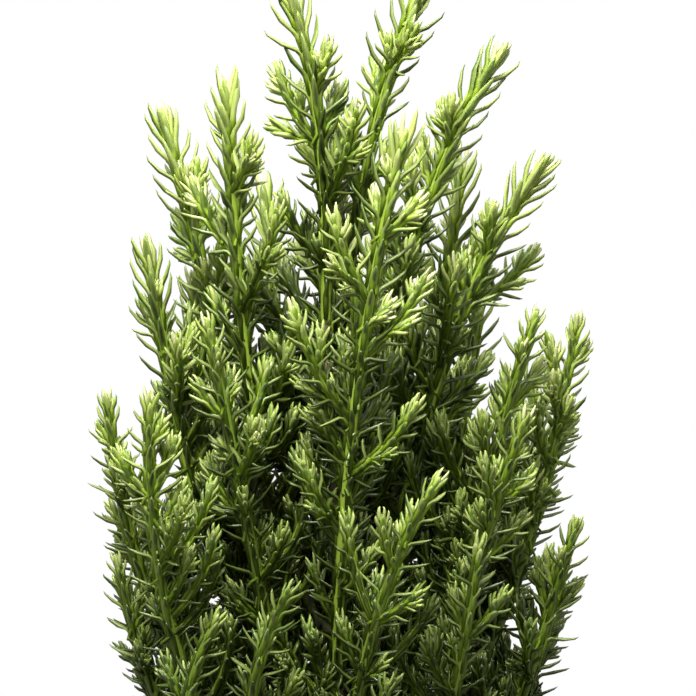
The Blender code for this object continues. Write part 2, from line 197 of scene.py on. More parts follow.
disc = bmesh.new()
bmesh.ops.create_circle(disc, cap_ends=True, segments=FLOOR_SIDES, radius=FLOOR_RADIUS)
floor = link(bpy.data.objects.new("floor", mesh_of(disc, "floor")))
floor_finish, tree = new_material("pale_floor")
pale = node(tree, "BsdfPrincipled", {"Base Color": FLOOR_COLOR, "Roughness": FLOOR_ROUGHNESS})
blank = node(tree, "Emission")
place = node(tree, "TexCoord").outputs["Object"]
away = node(tree, "VectorMath", {0: place}, operation="LENGTH").outputs["Value"]
fade = ranged(tree, away, FLOOR_FADE, interpolation_type="SMOOTHSTEP")
faded = node(tree, "MixShader", {"Fac": fade, 1: pale.outputs["BSDF"], 2: blank.outputs["Emission"]})
given = node(tree, "BsdfDiffuse", {"Color": FLOOR_BOUNCE})
by_ray(tree, "OutputMaterial", given.outputs["BSDF"], faded.outputs["Shader"])
floor.data.materials.append(floor_finish)
print("floor radius in mm:", round(FLOOR_RADIUS / MM))

# %% [markdown]
# The plant grows by one rule. Its main shoots leave the trunk at known heights and rise on smooth
# curves to known tips. This cell repeats the sizes of that rule, because the fine parts have to
# start on the same limbs and stay within the same reach.

# %% Repeat the sizes of the limbs
SOIL_LEVEL = 71 * MM
CLEAR = 0.3 * MM
TRUNK_TOP = 112 * MM
TRUNK_LEAN = (-3.5 * MM, -2.0 * MM)
TRUNK_FOOT_RADIUS = 2.6 * MM
TRUNK_TIP_RADIUS = 0.9 * MM
FLARE_RADIUS = 1.7 * MM
FLARE_HEIGHT = 3.0 * MM
BOUGH_FROM = 96 * MM
BOUGH_SHARE = 0.32
BOUGH_FOOT_RADIUS = 1.35 * MM
BOUGH_TIP_RADIUS = 1.0 * MM
STEM_FOOT_RADIUS = 1.0 * MM
SWEEP_OUT = 0.85
RISE_FIRST = (2 * MM, 0.14)
RISE_LAST = 0.40
LEADER_RISE = 0.33
CURVE_POINTS = 80
LIMB_POINTS = 24
SIDE_POINTS = 12

# The main shoots that show from the front: tip across, deep and high, the tip's lean across and
# deep for each unit it rises, and the height of its foot on the trunk, in millimetres. Last comes
# the side of its uppermost side shoot: 1 to the right, -1 to the left.
FRONT_SHOOTS = {
    "leader": (-11.5, -4, 174, -0.45, 0.0, 112, 1),
    "twin_leader": (16, 9, 177, 0.5, 0.0, 84, -1),
    "front_main": (11, -27, 149.5, 0.27, 0.0, 13, 1),
    "left_spire": (-21, -9, 157, -0.04, 0.0, 52, 1),
    "right_spire": (29, 7, 162, 0.7, 0.1, 58, -1),
    "right_arm": (37, -1, 142, 0.85, 0.0, 46, -1),
    "left_back_spire": (-34, 13, 151, -0.32, 0.1, 48, 1),
    "left_high": (-36, 1, 128, -0.16, 0.0, 40, -1),
    "left_middle": (-25, -22, 117, -0.25, -0.05, 27, -1),
    "left_front": (-34, -25, 104, 0.04, -0.05, 18, -1),
    "low_centre": (18, -38, 91, 0.7, -0.1, 4.5, -1),
    "right_front": (23.5, -33, 80, 0.12, -0.15, 10.5, 1),
    "right_middle": (33, -19, 100, 0.4, -0.1, 19, -1),
    "far_right": (43, 8, 115, 0.2, 0.05, 25, -1),
    "right_high": (35, -8, 117, 0.35, 0.0, 33, 1),
    "low_left": (-7.5, -39, 72, 0.7, -0.2, 8.2, -1),
    "low_left_front": (-20, -36, 67, 0.7, -0.1, 4.2, -1),
    "low_front": (8, -42, 57, 0.25, -0.2, 2, 1),
    "low_left_edge": (-41, -15, 74, -0.2, -0.1, 12.5, 1),
    "low_right_edge": (42, -10, 80, 0.3, -0.1, 6.5, 1),
    "skirt_left": (-41, -9, 37, -0.4, -0.1, 2.5, -1),
    "skirt_right": (34, -27, 43, 0.3, -0.3, 2, 1),
    "left_edge": (-43, -6, 102, -0.12, -0.05, 22.3, 1),
}

# The back of the crown, in tiers: tip height, reach, compass angles from +X, and height of the foot.
BACK_TIERS = (
    (156, 22, (96,), 56),
    (143, 33, (48, 118), 42),
    (121, 39, (48, 94, 138), 31),
    (96, 43, (36, 84, 130, 176), 19),
    (70, 44, (22, 70, 116, 158), 10),
    (44, 42, (6, 60, 110, 168), 4.2),
)
BACK_LEAN = 0.22
TIER_STEP = 5
FOOT_STEP = 2.2
back_count = sum(len(angles) for _, _, angles, _ in BACK_TIERS)
print("main shoots in front:", len(FRONT_SHOOTS), "at the back:", back_count)

# %% [markdown]
# A curve is easiest to grow on when it can be asked for the point and the direction at any distance
# along it. A small class does that for the trunk, the main shoots and every twig alike.

# %% Measure along a curve


def unit(vector):
    return vector / np.linalg.norm(vector, axis=-1, keepdims=True)


def swung(first, second, turn):
    """The direction that lies the turn away from the first, on the side of the second."""
    return math.cos(turn) * first + math.sin(turn) * second


class Path:
    """A curve through points, measured along its length."""

    HALF_STEP = 0.5 * MM

    def __init__(self, points):
        self.points = np.asarray(points, float)
        steps = np.linalg.norm(np.diff(self.points, axis=0), axis=1)
        self.along = np.concatenate([[0.0], np.cumsum(steps)])
        self.length = self.along[-1]

    def at(self, distance):
        return np.stack([np.interp(distance, self.along, self.points[:, k]) for k in range(3)], axis=-1)

    def heading(self, distance):
        ahead = self.at(np.add(distance, self.HALF_STEP))
        return unit(ahead - self.at(np.subtract(distance, self.HALF_STEP)))

    def part(self, start, end, count):
        return Path(self.at(np.linspace(start, end, count)))


def bezier(p0, p1, p2, p3, count=CURVE_POINTS):
    t = np.linspace(0, 1, count)[:, None]
    return Path((1 - t) ** 3 * p0 + 3 * (1 - t) ** 2 * t * p1 + 3 * (1 - t) * t**2 * p2 + t**3 * p3)


straight = bezier(0 * UP, 10 * MM * UP, 20 * MM * UP, 30 * MM * UP)
print("a straight test curve of 30 mm measures", round(straight.length / MM, 3))

# %% [markdown]
# The trunk leans more the higher it stands, and flares at its root. The leading shoot rises from its
# top, and every other one sweeps out from its side and turns up. The lower third of a long one is
# woody and is called its bough; the rest is the green stem that its mass of foliage grows on.

# %% Find the limbs
RIM_POINTS = 12
SEARCH_STEP = 0.1 * MM
DRAWN_OVERLAP = 1.5 * MM


def trunk_centre(height):
    rise = (height / TRUNK_TOP) ** 2
    return np.array([TRUNK_LEAN[0] * rise, TRUNK_LEAN[1] * rise, SOIL_LEVEL + height])


def trunk_radius(height):
    taper = TRUNK_FOOT_RADIUS + (TRUNK_TIP_RADIUS - TRUNK_FOOT_RADIUS) * height / TRUNK_TOP
    return taper + FLARE_RADIUS * math.exp(-height / FLARE_HEIGHT)


def main_shoots():
    """Every main shoot by name, as (tip, lean, foot height, first side), in metres."""
    rows = dict(FRONT_SHOOTS)
    for tip_height, reach, angles, foot in BACK_TIERS:
        for place, degrees in enumerate(angles):
            across, deep = math.cos(math.radians(degrees)), math.sin(math.radians(degrees))
            rows[f"back_{tip_height}_{place + 1}"] = (
                reach * across,
                reach * deep,
                tip_height - TIER_STEP * (place % 2),
                BACK_LEAN * across,
                BACK_LEAN * deep,
                foot + FOOT_STEP * place,
                1 - 2 * (place % 2),
            )
    return {
        name: (
            np.array([x * MM, y * MM, SOIL_LEVEL + z * MM]),
            unit(np.array([lean_x, lean_y, 1.0])),
            foot * MM,
            first_side,
        )
        for name, (x, y, z, lean_x, lean_y, foot, first_side) in rows.items()
    }


def shoot_curve(name, tip, lean, foot):
    """The whole curve of a main shoot, from the trunk's centre line to the tip."""
    start = trunk_centre(foot)
    rise = tip[2] - start[2]
    if name == "leader":
        return bezier(start, start + UP * LEADER_RISE * rise, tip - lean * LEADER_RISE * rise, tip)
    below_tip = tip - lean * RISE_LAST * rise
    outward = (below_tip - start) * [SWEEP_OUT, SWEEP_OUT, 0]
    first_rise = RISE_FIRST[0] + RISE_FIRST[1] * rise
    return bezier(start, start + outward + UP * first_rise, below_tip, tip)


def clear_of_trunk(curve, radius):
    """How far along the curve a limb's flat end stands CLEAR of the trunk all round."""
    distance = 0.0
    while distance < curve.length:
        point, heading = curve.at(distance), curve.heading(distance)
        side = unit(np.cross(heading, UP))
        over = np.cross(side, heading)
        rim = [point + radius * swung(side, over, a) for a in np.linspace(0, 2 * math.pi, RIM_POINTS)]
        gaps = [
            math.dist(p[:2], trunk_centre(p[2] - SOIL_LEVEL)[:2]) - trunk_radius(p[2] - SOIL_LEVEL)
            for p in rim
        ]
        if min(gaps) > CLEAR:
            return distance
        distance += SEARCH_STEP
    raise ValueError("the curve never leaves the trunk")


BOUGHS, STEMS, DRAWN_BOUGHS, DRAWN_STEMS = {}, {}, {}, {}
for name, (tip, lean, foot, _) in main_shoots().items():
    curve = shoot_curve(name, tip, lean, foot)
    if name == "leader":
        start = CLEAR
    elif curve.length < BOUGH_FROM:
        start = clear_of_trunk(curve, STEM_FOOT_RADIUS)
    else:
        end = curve.length * BOUGH_SHARE
        BOUGHS[name] = curve.part(clear_of_trunk(curve, BOUGH_FOOT_RADIUS), end, LIMB_POINTS)
        start = end + CLEAR
        DRAWN_BOUGHS[name] = curve.part(0, end, CURVE_POINTS)
    STEMS[name] = curve.part(start, curve.length, LIMB_POINTS)
    drawn_start = start - DRAWN_OVERLAP if name in BOUGHS else 0
    DRAWN_STEMS[name] = curve.part(drawn_start, curve.length, CURVE_POINTS)
print("boughs:", len(BOUGHS), "main stems:", len(STEMS))

# %% [markdown]
# Each mass of foliage keeps to its own space: the points that lie nearer to its own stem than to any
# other. Growers would call it competition for light. Here it is a distance test, and it keeps one
# mass from running through the next.

# %% Keep each mass to its own space
SPACE_MARGIN = 0.55 * MM
LIMB_MARGIN = 0.75 * MM
SOIL_MARGIN = 2 * MM
INNER = "inner"
STEM_CLEAR = 0.8 * MM
ALL_STEMS = np.concatenate([stem.points for stem in STEMS.values()])
FIRST_SIDES = {name: row[3] for name, row in main_shoots().items()}
BOUGH_POINTS = np.concatenate([bough.points for bough in BOUGHS.values()])
TRUNK_HEIGHTS = np.linspace(0, TRUNK_TOP, CURVE_POINTS)
TRUNK_POINTS = np.array([trunk_centre(h) for h in TRUNK_HEIGHTS])
TRUNK_RADII = np.array([trunk_radius(h) for h in TRUNK_HEIGHTS])
OTHER_STEMS = {
    name: np.concatenate([stem.points for other, stem in STEMS.items() if other != name])
    for name in STEMS
}


def nearest(points, others, less=0.0):
    """For each point the distance to the nearest of the others, less what each other takes up."""
    apart = np.linalg.norm(points[:, None] - others[None], axis=2)
    return (apart - less).min(axis=1)


def spare_room(name, points):
    """How far each point lies inside its mass's space, off the limbs, and above the soil."""
    if name == INNER:
        own = nearest(points, ALL_STEMS) - STEM_CLEAR
    else:
        own = (nearest(points, OTHER_STEMS[name]) - nearest(points, STEMS[name].points)) / 2
    off_boughs = nearest(points, BOUGH_POINTS) - BOUGH_FOOT_RADIUS
    off_trunk = nearest(points, TRUNK_POINTS, TRUNK_RADII)
    return own, np.minimum(off_boughs, off_trunk), points[:, 2] - SOIL_LEVEL


def in_own_space(name, points, margin):
    own, off_limbs, off_soil = spare_room(name, np.asarray(points))
    room = own.min() - margin, off_limbs.min() - LIMB_MARGIN, off_soil.min() - SOIL_MARGIN
    return min(room) > 0


print("space kept round", len(ALL_STEMS), "points of stem and", len(BOUGH_POINTS), "of bough")

# %% [markdown]
# Side shoots stand to the right and left of a main stem in turn, leave it at about 45 degrees, and
# bend up. This is the same rule, with the same seeded draws, as the solids were made by, so every
# side shoot here lies along one of theirs.

# %% Grow the side shoots of the solids
SIDE_FROM_TIP = 21 * MM
SIDE_STEP = 10.5 * MM
SIDE_FROM_FOOT = 5 * MM
SIDE_LONGEST = 25 * MM
SIDE_SHORTEST = 6 * MM
SIDE_TO_TIP = 0.5
SIDE_SHRINK = 0.85
SIDE_TURN_JITTER = 26
SIDE_ANGLE = (40, 52)
SIDE_END_ANGLE = 22
SIDE_SPREAD = (0.85, 1.15)
FACE_FRONT = 0.6
SIDE_CORE_RADIUS = 0.8 * MM
FOOT_POINTS = {INNER: 4}
Shoot = namedtuple("Shoot", "mass kind path depth")


def spray_frame(name, distance):
    """(heading, side, face) of a mass's stem: side lies in the plane of its spray, face out of it."""
    point, heading = STEMS[name].at(distance), STEMS[name].heading(distance)
    outward = point - trunk_centre(0)
    outward = unit(outward * [1, 1, 0]) + FACE_FRONT * FRONT
    side = unit(np.cross(heading, outward))
    return heading, side, np.cross(side, heading)


def rising_curve(foot, heading, away, angle, length):
    """A shoot that leaves its stem at the angle and bends up to SIDE_END_ANGLE."""
    end_angle = math.radians(SIDE_END_ANGLE)
    knee = foot + length / 2 * swung(heading, away, angle)
    end = knee + length / 2 * swung(heading, away, end_angle)
    return bezier(foot, (foot + 2 * knee) / 3, (end + 2 * knee) / 3, end, SIDE_POINTS)


def fitted_curve(name, foot, heading, away, angle, length, shortest):
    """The rising curve, shortened until all but its foot fits the mass's space, or None."""
    margin = 0 if name == INNER else SIDE_CORE_RADIUS + SPACE_MARGIN
    while length > shortest:
        curve = rising_curve(foot, heading, away, angle, length)
        if in_own_space(name, curve.points[FOOT_POINTS.get(name, 2):], margin):
            return curve
        length *= SIDE_SHRINK
    return None


def side_shoots(name):
    chance = random.Random(name)
    stem = STEMS[name]
    hand = FIRST_SIDES[name]
    below_tip = SIDE_FROM_TIP
    shoots = []
    while below_tip < stem.length - SIDE_FROM_FOOT:
        turn = math.radians(chance.uniform(-SIDE_TURN_JITTER, SIDE_TURN_JITTER))
        angle = math.radians(chance.uniform(*SIDE_ANGLE))
        length = min(SIDE_LONGEST, SIDE_TO_TIP * below_tip) * chance.uniform(*SIDE_SPREAD)
        foot = stem.length - below_tip
        heading, side, face = spray_frame(name, foot)
        away = swung(hand * side, face, turn)
        curve = fitted_curve(name, stem.at(foot), heading, away, angle, length, SIDE_SHORTEST)
        if curve:
            shoots.append(Shoot(name, "side", curve, below_tip))
        below_tip += SIDE_STEP * chance.uniform(*SIDE_SPREAD)
        hand = -hand
    return shoots


SIDES = {name: side_shoots(name) for name in STEMS}
print("side shoots:", sum(len(shoots) for shoots in SIDES.values()))

# %% [markdown]
# The solids have room for one order of side shoots. The real plant goes on: smaller shoots fill the
# sides and the back of each stem, twigs and buds stand on them in turn, and shaded shoots fill the
# heart of the crown. Each order repeats the rule at a smaller size, with its own seed, and a shoot
# that would leave the mass's space is shortened or dropped. High up the shoots stand further apart,
# and in the few masses named as fuller the photographed crown is closed, so that none is skipped.
# The upper trunk and the boughs join the list as well, because they bear needles of their own.

# %% Grow the finer shoots
HABIT_KINDS = ("main", "low", "side", "twig", "bud", "limb")
LOW_TIP = 120 * MM
MAIN_TIP_BACK = 3.5 * MM
SIDE_TIP_BACK = 1.0 * MM
FACE_FROM_TIP = 12 * MM
FACE_STEP = (3.6 * MM, 4.8 * MM)
THINNING_HEIGHTS = (90 * MM, 120 * MM)
THINNED_STEP = 2.0
FACE_TO_TIP = {"front": 0.16, "side": 0.25, "back": 0.36}
FACE_LONGEST = {"front": 5 * MM, "side": 12 * MM, "back": 22 * MM}
FACE_SHARE = {"front": 0.15, "side": 0.5, "back": 0.9}
FACE_SPREAD = (0.7, 1.25)
FACE_ORDER = ("side", "back", "back", "side", "back", "front", "back")
FULLER = (
    "left_edge", "left_front", "low_left_edge", "far_right", "low_right_edge",
    "back_96_1", "back_96_3", "back_96_4", "back_70_1", "back_70_3", "back_70_4",
)
FULLER_TO_TIP = 1.5
TWIG_FROM_TIP = 5.0 * MM
TWIG_STEP = {"seen": (6.5 * MM, 9.0 * MM), "hidden": (4.2 * MM, 6.0 * MM)}
TWIG_FROM_FOOT = 1.6 * MM
TWIG_TO_TIP = 0.5
TWIG_LONGEST = 8 * MM
TWIG_SPREAD = (0.7, 1.2)
TWIG_TURN = 40
FINE_ANGLE = (34, 50)
BUD_LENGTH = 1.3 * MM
BUD_BELOW = 2.4 * MM
INNER_FROM_FOOT = 5 * MM
INNER_FROM_SOIL = 14 * MM
INNER_STEP = (1.6 * MM, 2.6 * MM)
INNER_ANGLE = (50, 85)
INNER_LENGTH = (12 * MM, 22 * MM)
# Shoots in the heart of the crown count as this deep in their mass, so that their needles take the darker
# tones: partly their age, partly painted shade there.
INNER_AGE_AND_SHADE_DEPTH = 160 * MM
INNER_STEM_SHARE = 0.6
INNER_STEM_STEP = (3.0 * MM, 4.5 * MM)
INNER_TURN = 65
INNER_TIP_UP = 0.3
CLOTHED_FROM = 50 * MM
INNER_BELOW = 102 * MM


def shortened(path, back_by, count):
    return path.part(0, path.length - back_by, count)


def face_shoots(name):
    """Shorter shoots between the side shoots, to the back, the sides and now and then the front."""
    chance = random.Random(name + "/face")
    stem = STEMS[name]
    hand = -FIRST_SIDES[name]
    fuller = name in FULLER
    thinned = (1, 1 if fuller else THINNED_STEP)
    below_tip = FACE_FROM_TIP
    shoots = []
    order = cycle(FACE_ORDER)
    while below_tip < stem.length - SIDE_FROM_FOOT / 2:
        toward = next(order)
        angle = math.radians(chance.uniform(*FINE_ANGLE))
        turn = math.radians(chance.uniform(-TWIG_TURN, TWIG_TURN))
        length = FACE_TO_TIP[toward] * below_tip * (FULLER_TO_TIP if fuller else 1)
        length = min(FACE_LONGEST[toward], length) * chance.uniform(*FACE_SPREAD)
        kept = chance.random() < FACE_SHARE[toward] or (fuller and toward != "front")
        foot = stem.at(stem.length - below_tip)
        heading, side, face = spray_frame(name, stem.length - below_tip)
        if toward == "side":
            away = swung(hand * side, face, turn)
            hand = -hand
        else:
            away = swung(face if toward == "front" else -face, side, turn)
        if kept:
            kind = "bud" if length < BUD_BELOW else "side" if length > SIDE_SHORTEST else "twig"
            length = max(length, BUD_LENGTH)
            curve = fitted_curve(name, foot, heading, away, angle, length, BUD_LENGTH / 2)
            if curve:
                shoots.append(Shoot(name, kind, curve, below_tip))
        sparser = np.interp(foot[2] - SOIL_LEVEL, THINNING_HEIGHTS, thinned)
        below_tip += chance.uniform(*FACE_STEP) * sparser
    return shoots


def twigs_on(parent, number):
    """The twigs and buds that one side shoot bears, right and left in turn."""
    chance = random.Random(f"{parent.mass}/twig/{number}")
    path = parent.path
    step = TWIG_STEP["hidden" if path.points[-1, 1] > 0 else "seen"]
    plane = unit(np.cross(path.heading(path.length / 2), STEMS[parent.mass].heading(0.0) + FRONT))
    hand = chance.choice((-1, 1))
    below_tip = TWIG_FROM_TIP
    shoots = []
    while below_tip < path.length - TWIG_FROM_FOOT:
        angle = math.radians(chance.uniform(*FINE_ANGLE))
        turn = math.radians(chance.uniform(-TWIG_TURN, TWIG_TURN))
        length = min(TWIG_LONGEST, TWIG_TO_TIP * below_tip) * chance.uniform(*TWIG_SPREAD)
        foot = path.length - below_tip
        heading = path.heading(foot)
        side = unit(plane - heading * plane.dot(heading))
        away = swung(hand * side, np.cross(side, heading), turn)
        kind = "bud" if length < BUD_BELOW else "twig"
        length = max(length, BUD_LENGTH)
        curve = fitted_curve(parent.mass, path.at(foot), heading, away, angle, length, BUD_LENGTH / 2)
        if curve:
            shoots.append(Shoot(parent.mass, kind, curve, parent.depth))
        below_tip += chance.uniform(*step)
        hand = -hand
    return shoots


def inner_shoot(foot, heading, away, chance):
    """One shaded shoot, shortened until it clears every main stem, or None."""
    angle = math.radians(chance.uniform(*INNER_ANGLE))
    length = chance.uniform(*INNER_LENGTH)
    curve = fitted_curve(INNER, foot, heading, away, angle, length, SIDE_SHORTEST)
    return curve and Shoot(INNER, "side", curve, INNER_AGE_AND_SHADE_DEPTH)


def inner_shoots():
    """Shaded shoots in the heart of the crown: all round the boughs and the trunk, and inward from
    the lower part of each main stem."""
    chance = random.Random(INNER)
    found = []
    limbs = [(path, INNER_FROM_FOOT) for path in BOUGHS.values()]
    for path, along in [*limbs, (Path(TRUNK_POINTS), INNER_FROM_SOIL)]:
        while along < path.length:
            heading = path.heading(along)
            across = unit(np.cross(heading, FRONT + INNER_TIP_UP * UP))
            away = swung(across, np.cross(across, heading), chance.uniform(0, 2 * math.pi))
            found.append(inner_shoot(path.at(along), heading, away, chance))
            along += chance.uniform(*INNER_STEP)
    for stem in STEMS.values():
        along = INNER_FROM_FOOT
        while along < stem.length * INNER_STEM_SHARE and stem.at(along)[2] < SOIL_LEVEL + INNER_BELOW:
            point, heading = stem.at(along), stem.heading(along)
            inward = (trunk_centre(0) - point) * [1, 1, 0]
            across = unit(np.cross(heading, inward))
            turn = math.radians(chance.uniform(-INNER_TURN, INNER_TURN))
            away = swung(np.cross(across, heading), across, turn)
            found.append(inner_shoot(point, heading, away, chance))
            along += chance.uniform(*INNER_STEM_STEP)
    return [shoot for shoot in found if shoot]


shoots = inner_shoots()
print("inner shoots:", len(shoots))
clothed = [Path(TRUNK_POINTS).part(CLOTHED_FROM, TRUNK_TOP, CURVE_POINTS), *BOUGHS.values()]
shoots += [Shoot(INNER, "limb", path, INNER_AGE_AND_SHADE_DEPTH) for path in clothed]
for name in STEMS:
    stem = shortened(DRAWN_STEMS[name], MAIN_TIP_BACK, CURVE_POINTS)
    tip_height = STEMS[name].points[-1, 2] - SOIL_LEVEL
    shoots.append(Shoot(name, "main" if tip_height > LOW_TIP else "low", stem, 0.0))
    for number, shoot in enumerate([*SIDES[name], *face_shoots(name)]):
        if shoot.kind == "side":
            shoots.append(shoot._replace(path=shortened(shoot.path, SIDE_TIP_BACK, SIDE_POINTS)))
        else:
            shoots.append(shoot)
        if shoot.kind != "bud":
            shoots += twigs_on(shoot, number)
kinds = [shoot.kind for shoot in shoots]
print("shoots:", {kind: kinds.count(kind) for kind in HABIT_KINDS})

# %% [markdown]
# The trunk and the boughs are tubes. Drawing each as a thick curve is the natural way to make one, and
# one curve object can hold many splines. It is turned into a mesh once, and its end caps are welded
# on. Every bough starts inside the trunk and swells there, as a real one grows out of its parent.
# The green stems further down are drawn with the same helper.

# %% Draw limbs as tubes
WELD = 0.001 * MM


def smooth_piece(shape, name):
    """An object of the finished bmesh, with its doubles merged and its faces turned outward."""
    bmesh.ops.remove_doubles(shape, verts=shape.verts, dist=WELD)
    bmesh.ops.recalc_face_normals(shape, faces=shape.faces)
    mesh = mesh_of(shape, name)
    mesh.shade_smooth()
    return link(bpy.data.objects.new(name, mesh))


def tubes(name, runs, sides):
    """One mesh of closed tubes, one for each run of (points, radii)."""
    curve = bpy.data.curves.new(name, "CURVE")
    curve.dimensions = "3D"
    curve.bevel_depth = 1.0
    curve.bevel_resolution = sides // 2 - 2
    curve.use_fill_caps = True
    for points, radii in runs:
        spline = curve.splines.new("POLY")
        spline.points.add(len(points) - 1)
        spline.points.foreach_set("co", np.hstack([points, np.ones((len(points), 1))]).ravel())
        spline.points.foreach_set("radius", radii)
    guide = link(bpy.data.objects.new(name + "_guide", curve))
    graph = bpy.context.evaluated_depsgraph_get()
    drawn = bpy.data.meshes.new_from_object(guide.evaluated_get(graph))
    shape = bmesh.new()
    shape.from_mesh(drawn)
    bpy.data.objects.remove(guide)
    bpy.data.curves.remove(curve)
    bpy.data.meshes.remove(drawn)
    return smooth_piece(shape, name)


# %% [markdown]
# The bark of a young cypress is thin and fibrous, and splits into fine upright ridges. The ridges are
# real relief: each corner of the tubes moves in or out by a ridged noise that is drawn out along
# the limb. The finish then only has to colour the ridges and the furrows.

# %% Raise the bark
TRUNK_SIDES = 32
BOUGH_SIDES = 20
BARK_RING_STEP = 0.4 * MM
BARK_RELIEF = 0.13 * MM
BARK_GRAIN = 1100.0
BARK_STRETCH = 0.16
BARK_BURIED = 1.5 * MM
COLLAR_RADIUS = 0.9 * MM
COLLAR_LENGTH = 1.8 * MM

# The ridged noise: how fast its finer scales fade, their step and number, its offset and its gain.
RIDGE_NOISE = (0.9, 2.1, 3, 1.0, 2.0)
RIDGE_MEAN = 1.2


def ridges(place):
    """The height of the bark's ridges at a place, about -1 to 1."""
    fine = Vector((place.x, place.y, place.z * BARK_STRETCH)) * BARK_GRAIN
    return noise.ridged_multi_fractal(fine, *RIDGE_NOISE) - RIDGE_MEAN


def raise_bark(piece):
    normals = [vertex.normal.copy() for vertex in piece.data.vertices]
    height = piece.data.attributes.new("ridge", "FLOAT", "POINT")
    for number, vertex in enumerate(piece.data.vertices):
        ridge = ridges(vertex.co)
        vertex.co += normals[number] * BARK_RELIEF * ridge
        height.data[number].value = ridge
    piece.data.update()


trunk_rings = round((TRUNK_TOP + 2 * BARK_BURIED) / BARK_RING_STEP)
trunk_heights = np.linspace(-BARK_BURIED, TRUNK_TOP + BARK_BURIED, trunk_rings)
trunk_points = np.array([trunk_centre(h) for h in trunk_heights])
trunk_radii = np.array([trunk_radius(max(h, 0)) for h in trunk_heights])
bough_runs = []
for name, bough in DRAWN_BOUGHS.items():
    distance = np.linspace(0, bough.length, round(bough.length / BARK_RING_STEP))
    free = (distance - (bough.length - BOUGHS[name].length)).clip(0)
    taper = np.interp(free, (0, BOUGHS[name].length), (BOUGH_FOOT_RADIUS, BOUGH_TIP_RADIUS))
    bough_runs.append((bough.at(distance), taper + COLLAR_RADIUS * np.exp(-free / COLLAR_LENGTH)))
bark_runs = {
    "bark_trunk": ([(trunk_points, trunk_radii)], TRUNK_SIDES, ["trunk"]),
    "bark_boughs": (bough_runs, BOUGH_SIDES, ["bough_" + name for name in BOUGHS]),
}
bark_pieces = []
for name, (runs, sides, nodes) in bark_runs.items():
    piece = tubes(name, runs, sides)
    raise_bark(piece)
    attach(piece, "root")
    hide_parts(*nodes)
    bark_pieces.append(piece)
    print(name, "faces:", len(piece.data.polygons))

# %% [markdown]
# Bark, compost and pot all need a colour that wanders between a few shades, with a matching roughness
# and relief. One node group does that for all of them: a noise of a given scale and stretch, mixed
# between two colours. Each finish places it with its own values. The boughs are younger than the
# trunk, so their bark is still greenish.

# %% Mix wandering shades
SHADE_OUTPUTS = (("Color", "Color"), ("Roughness", "Float"), ("Height", "Float"))
SHADE_GRAIN = {"Detail": 6, "Roughness": 0.65}
SHADE_CONTRAST = (0.32, 0.68)
EVEN = (1, 1, 1)
# How much lighter the raised places of a mask are made.
RIDGE_LIGHTENING = 0.25


def screen_color(rgb):
    """A colour as a screen shows it, 0 to 255, as the light values that shaders use."""
    shown = [part / 255 for part in rgb]
    return (*(((c + 0.055) / 1.055) ** 2.4 if c > 0.04 else c / 12.92 for c in shown), 1)


def new_group(name, inputs):
    """A new group of shades: its tree, the sockets to read inside it, and those to feed."""
    group = bpy.data.node_groups.new(name, "ShaderNodeTree")
    for direction, sockets in (("INPUT", inputs), ("OUTPUT", SHADE_OUTPUTS)):
        for label, kind in sockets:
            group.interface.new_socket(label, in_out=direction, socket_type="NodeSocket" + kind)
    return group, group.nodes.new("NodeGroupInput").outputs, group.nodes.new("NodeGroupOutput").inputs


def mixed(tree, share, first, second):
    """A colour that passes from the first to the second as the share rises."""
    values = {"Factor": share, "A": first, "B": second}
    return node(tree, "Mix", values, data_type="RGBA").outputs["Result"]


def wandering_shades():
    colors = ("Light", "Color"), ("Dark", "Color")
    inputs = (*colors, ("Scale", "Float"), ("Stretch", "Vector"), ("Shift", "Float"))
    group, inside, outside = new_group("wandering_shades", inputs)
    place = node(group, "TexCoord").outputs["Object"]
    stretched = node(group, "VectorMath", {0: place, 1: inside["Stretch"]}, operation="MULTIPLY")
    grain = {"Vector": stretched.outputs["Vector"], "Scale": inside["Scale"], **SHADE_GRAIN}
    fine = node(group, "TexNoise", grain).outputs["Fac"]
    shifted = node(group, "Math", {0: fine, 1: inside["Shift"]}, operation="ADD")
    share = ranged(group, shifted.outputs["Value"], SHADE_CONTRAST)
    color = mixed(group, share, inside["Dark"], inside["Light"])
    feed(group, outside, {"Color": color, "Roughness": share, "Height": fine})
    return group


def join_finish(tree, shades, roughness, bump, through=None):
    """Joins a group's shades to a Principled shader, with their height as a bump."""
    relief = node(tree, "Bump", {"Height": shades["Height"], **bump}).outputs["Normal"]
    values = {"Base Color": shades["Color"], "Roughness": roughness, "Normal": relief}
    shader = node(tree, "BsdfPrincipled", {**values, **(through or {})})
    node(tree, "OutputMaterial", {"Surface": shader.outputs["BSDF"]})


WANDERING_SHADES = wandering_shades()


def earthy_finish(name, light, dark, scale, stretch, gloss, relief, mask=None):
    """A finish from the wandering shades. Gloss is (smoothest, roughest), relief the bump in metres,
    and mask an attribute that makes its high places lighter."""
    made, tree = new_material(name)
    values = {"Light": screen_color(light), "Dark": screen_color(dark)}
    values.update(Scale=scale, Stretch=stretch)
    if mask:
        # The raised places of the mask are made lighter than its hollows.
        ridge_share = node(tree, "Attribute", attribute_name=mask).outputs["Fac"]
        shift = node(tree, "Math", {0: ridge_share, 1: RIDGE_LIGHTENING}, operation="MULTIPLY")
        values["Shift"] = shift.outputs["Value"]
    shades = node(tree, "Group", values, node_tree=WANDERING_SHADES).outputs
    join_finish(tree, shades, ranged(tree, shades["Roughness"], (0, 1), gloss), {"Distance": relief})
    return made


BARK_LOOK = (900, (1, 1, 0.2), (0.65, 0.9), 0.08 * MM, "ridge")
BARK_COLORS = {
    "bark_trunk": ((122, 108, 76), (56, 48, 33)),
    "bark_boughs": ((108, 112, 62), (56, 60, 30)),
}
for piece in bark_pieces:
    piece.data.materials.append(earthy_finish(piece.name, *BARK_COLORS[piece.name], *BARK_LOOK))
print("bark finishes:", ", ".join(BARK_COLORS))

# %% [markdown]
# The compost fills the pot in one closed body. Its outline, drawn from the middle out and down the pot's
# wall, is spun once round. A noise then lifts and sinks the top, so that it is lumpy everywhere
# except at the trunk's foot, where it lies close.

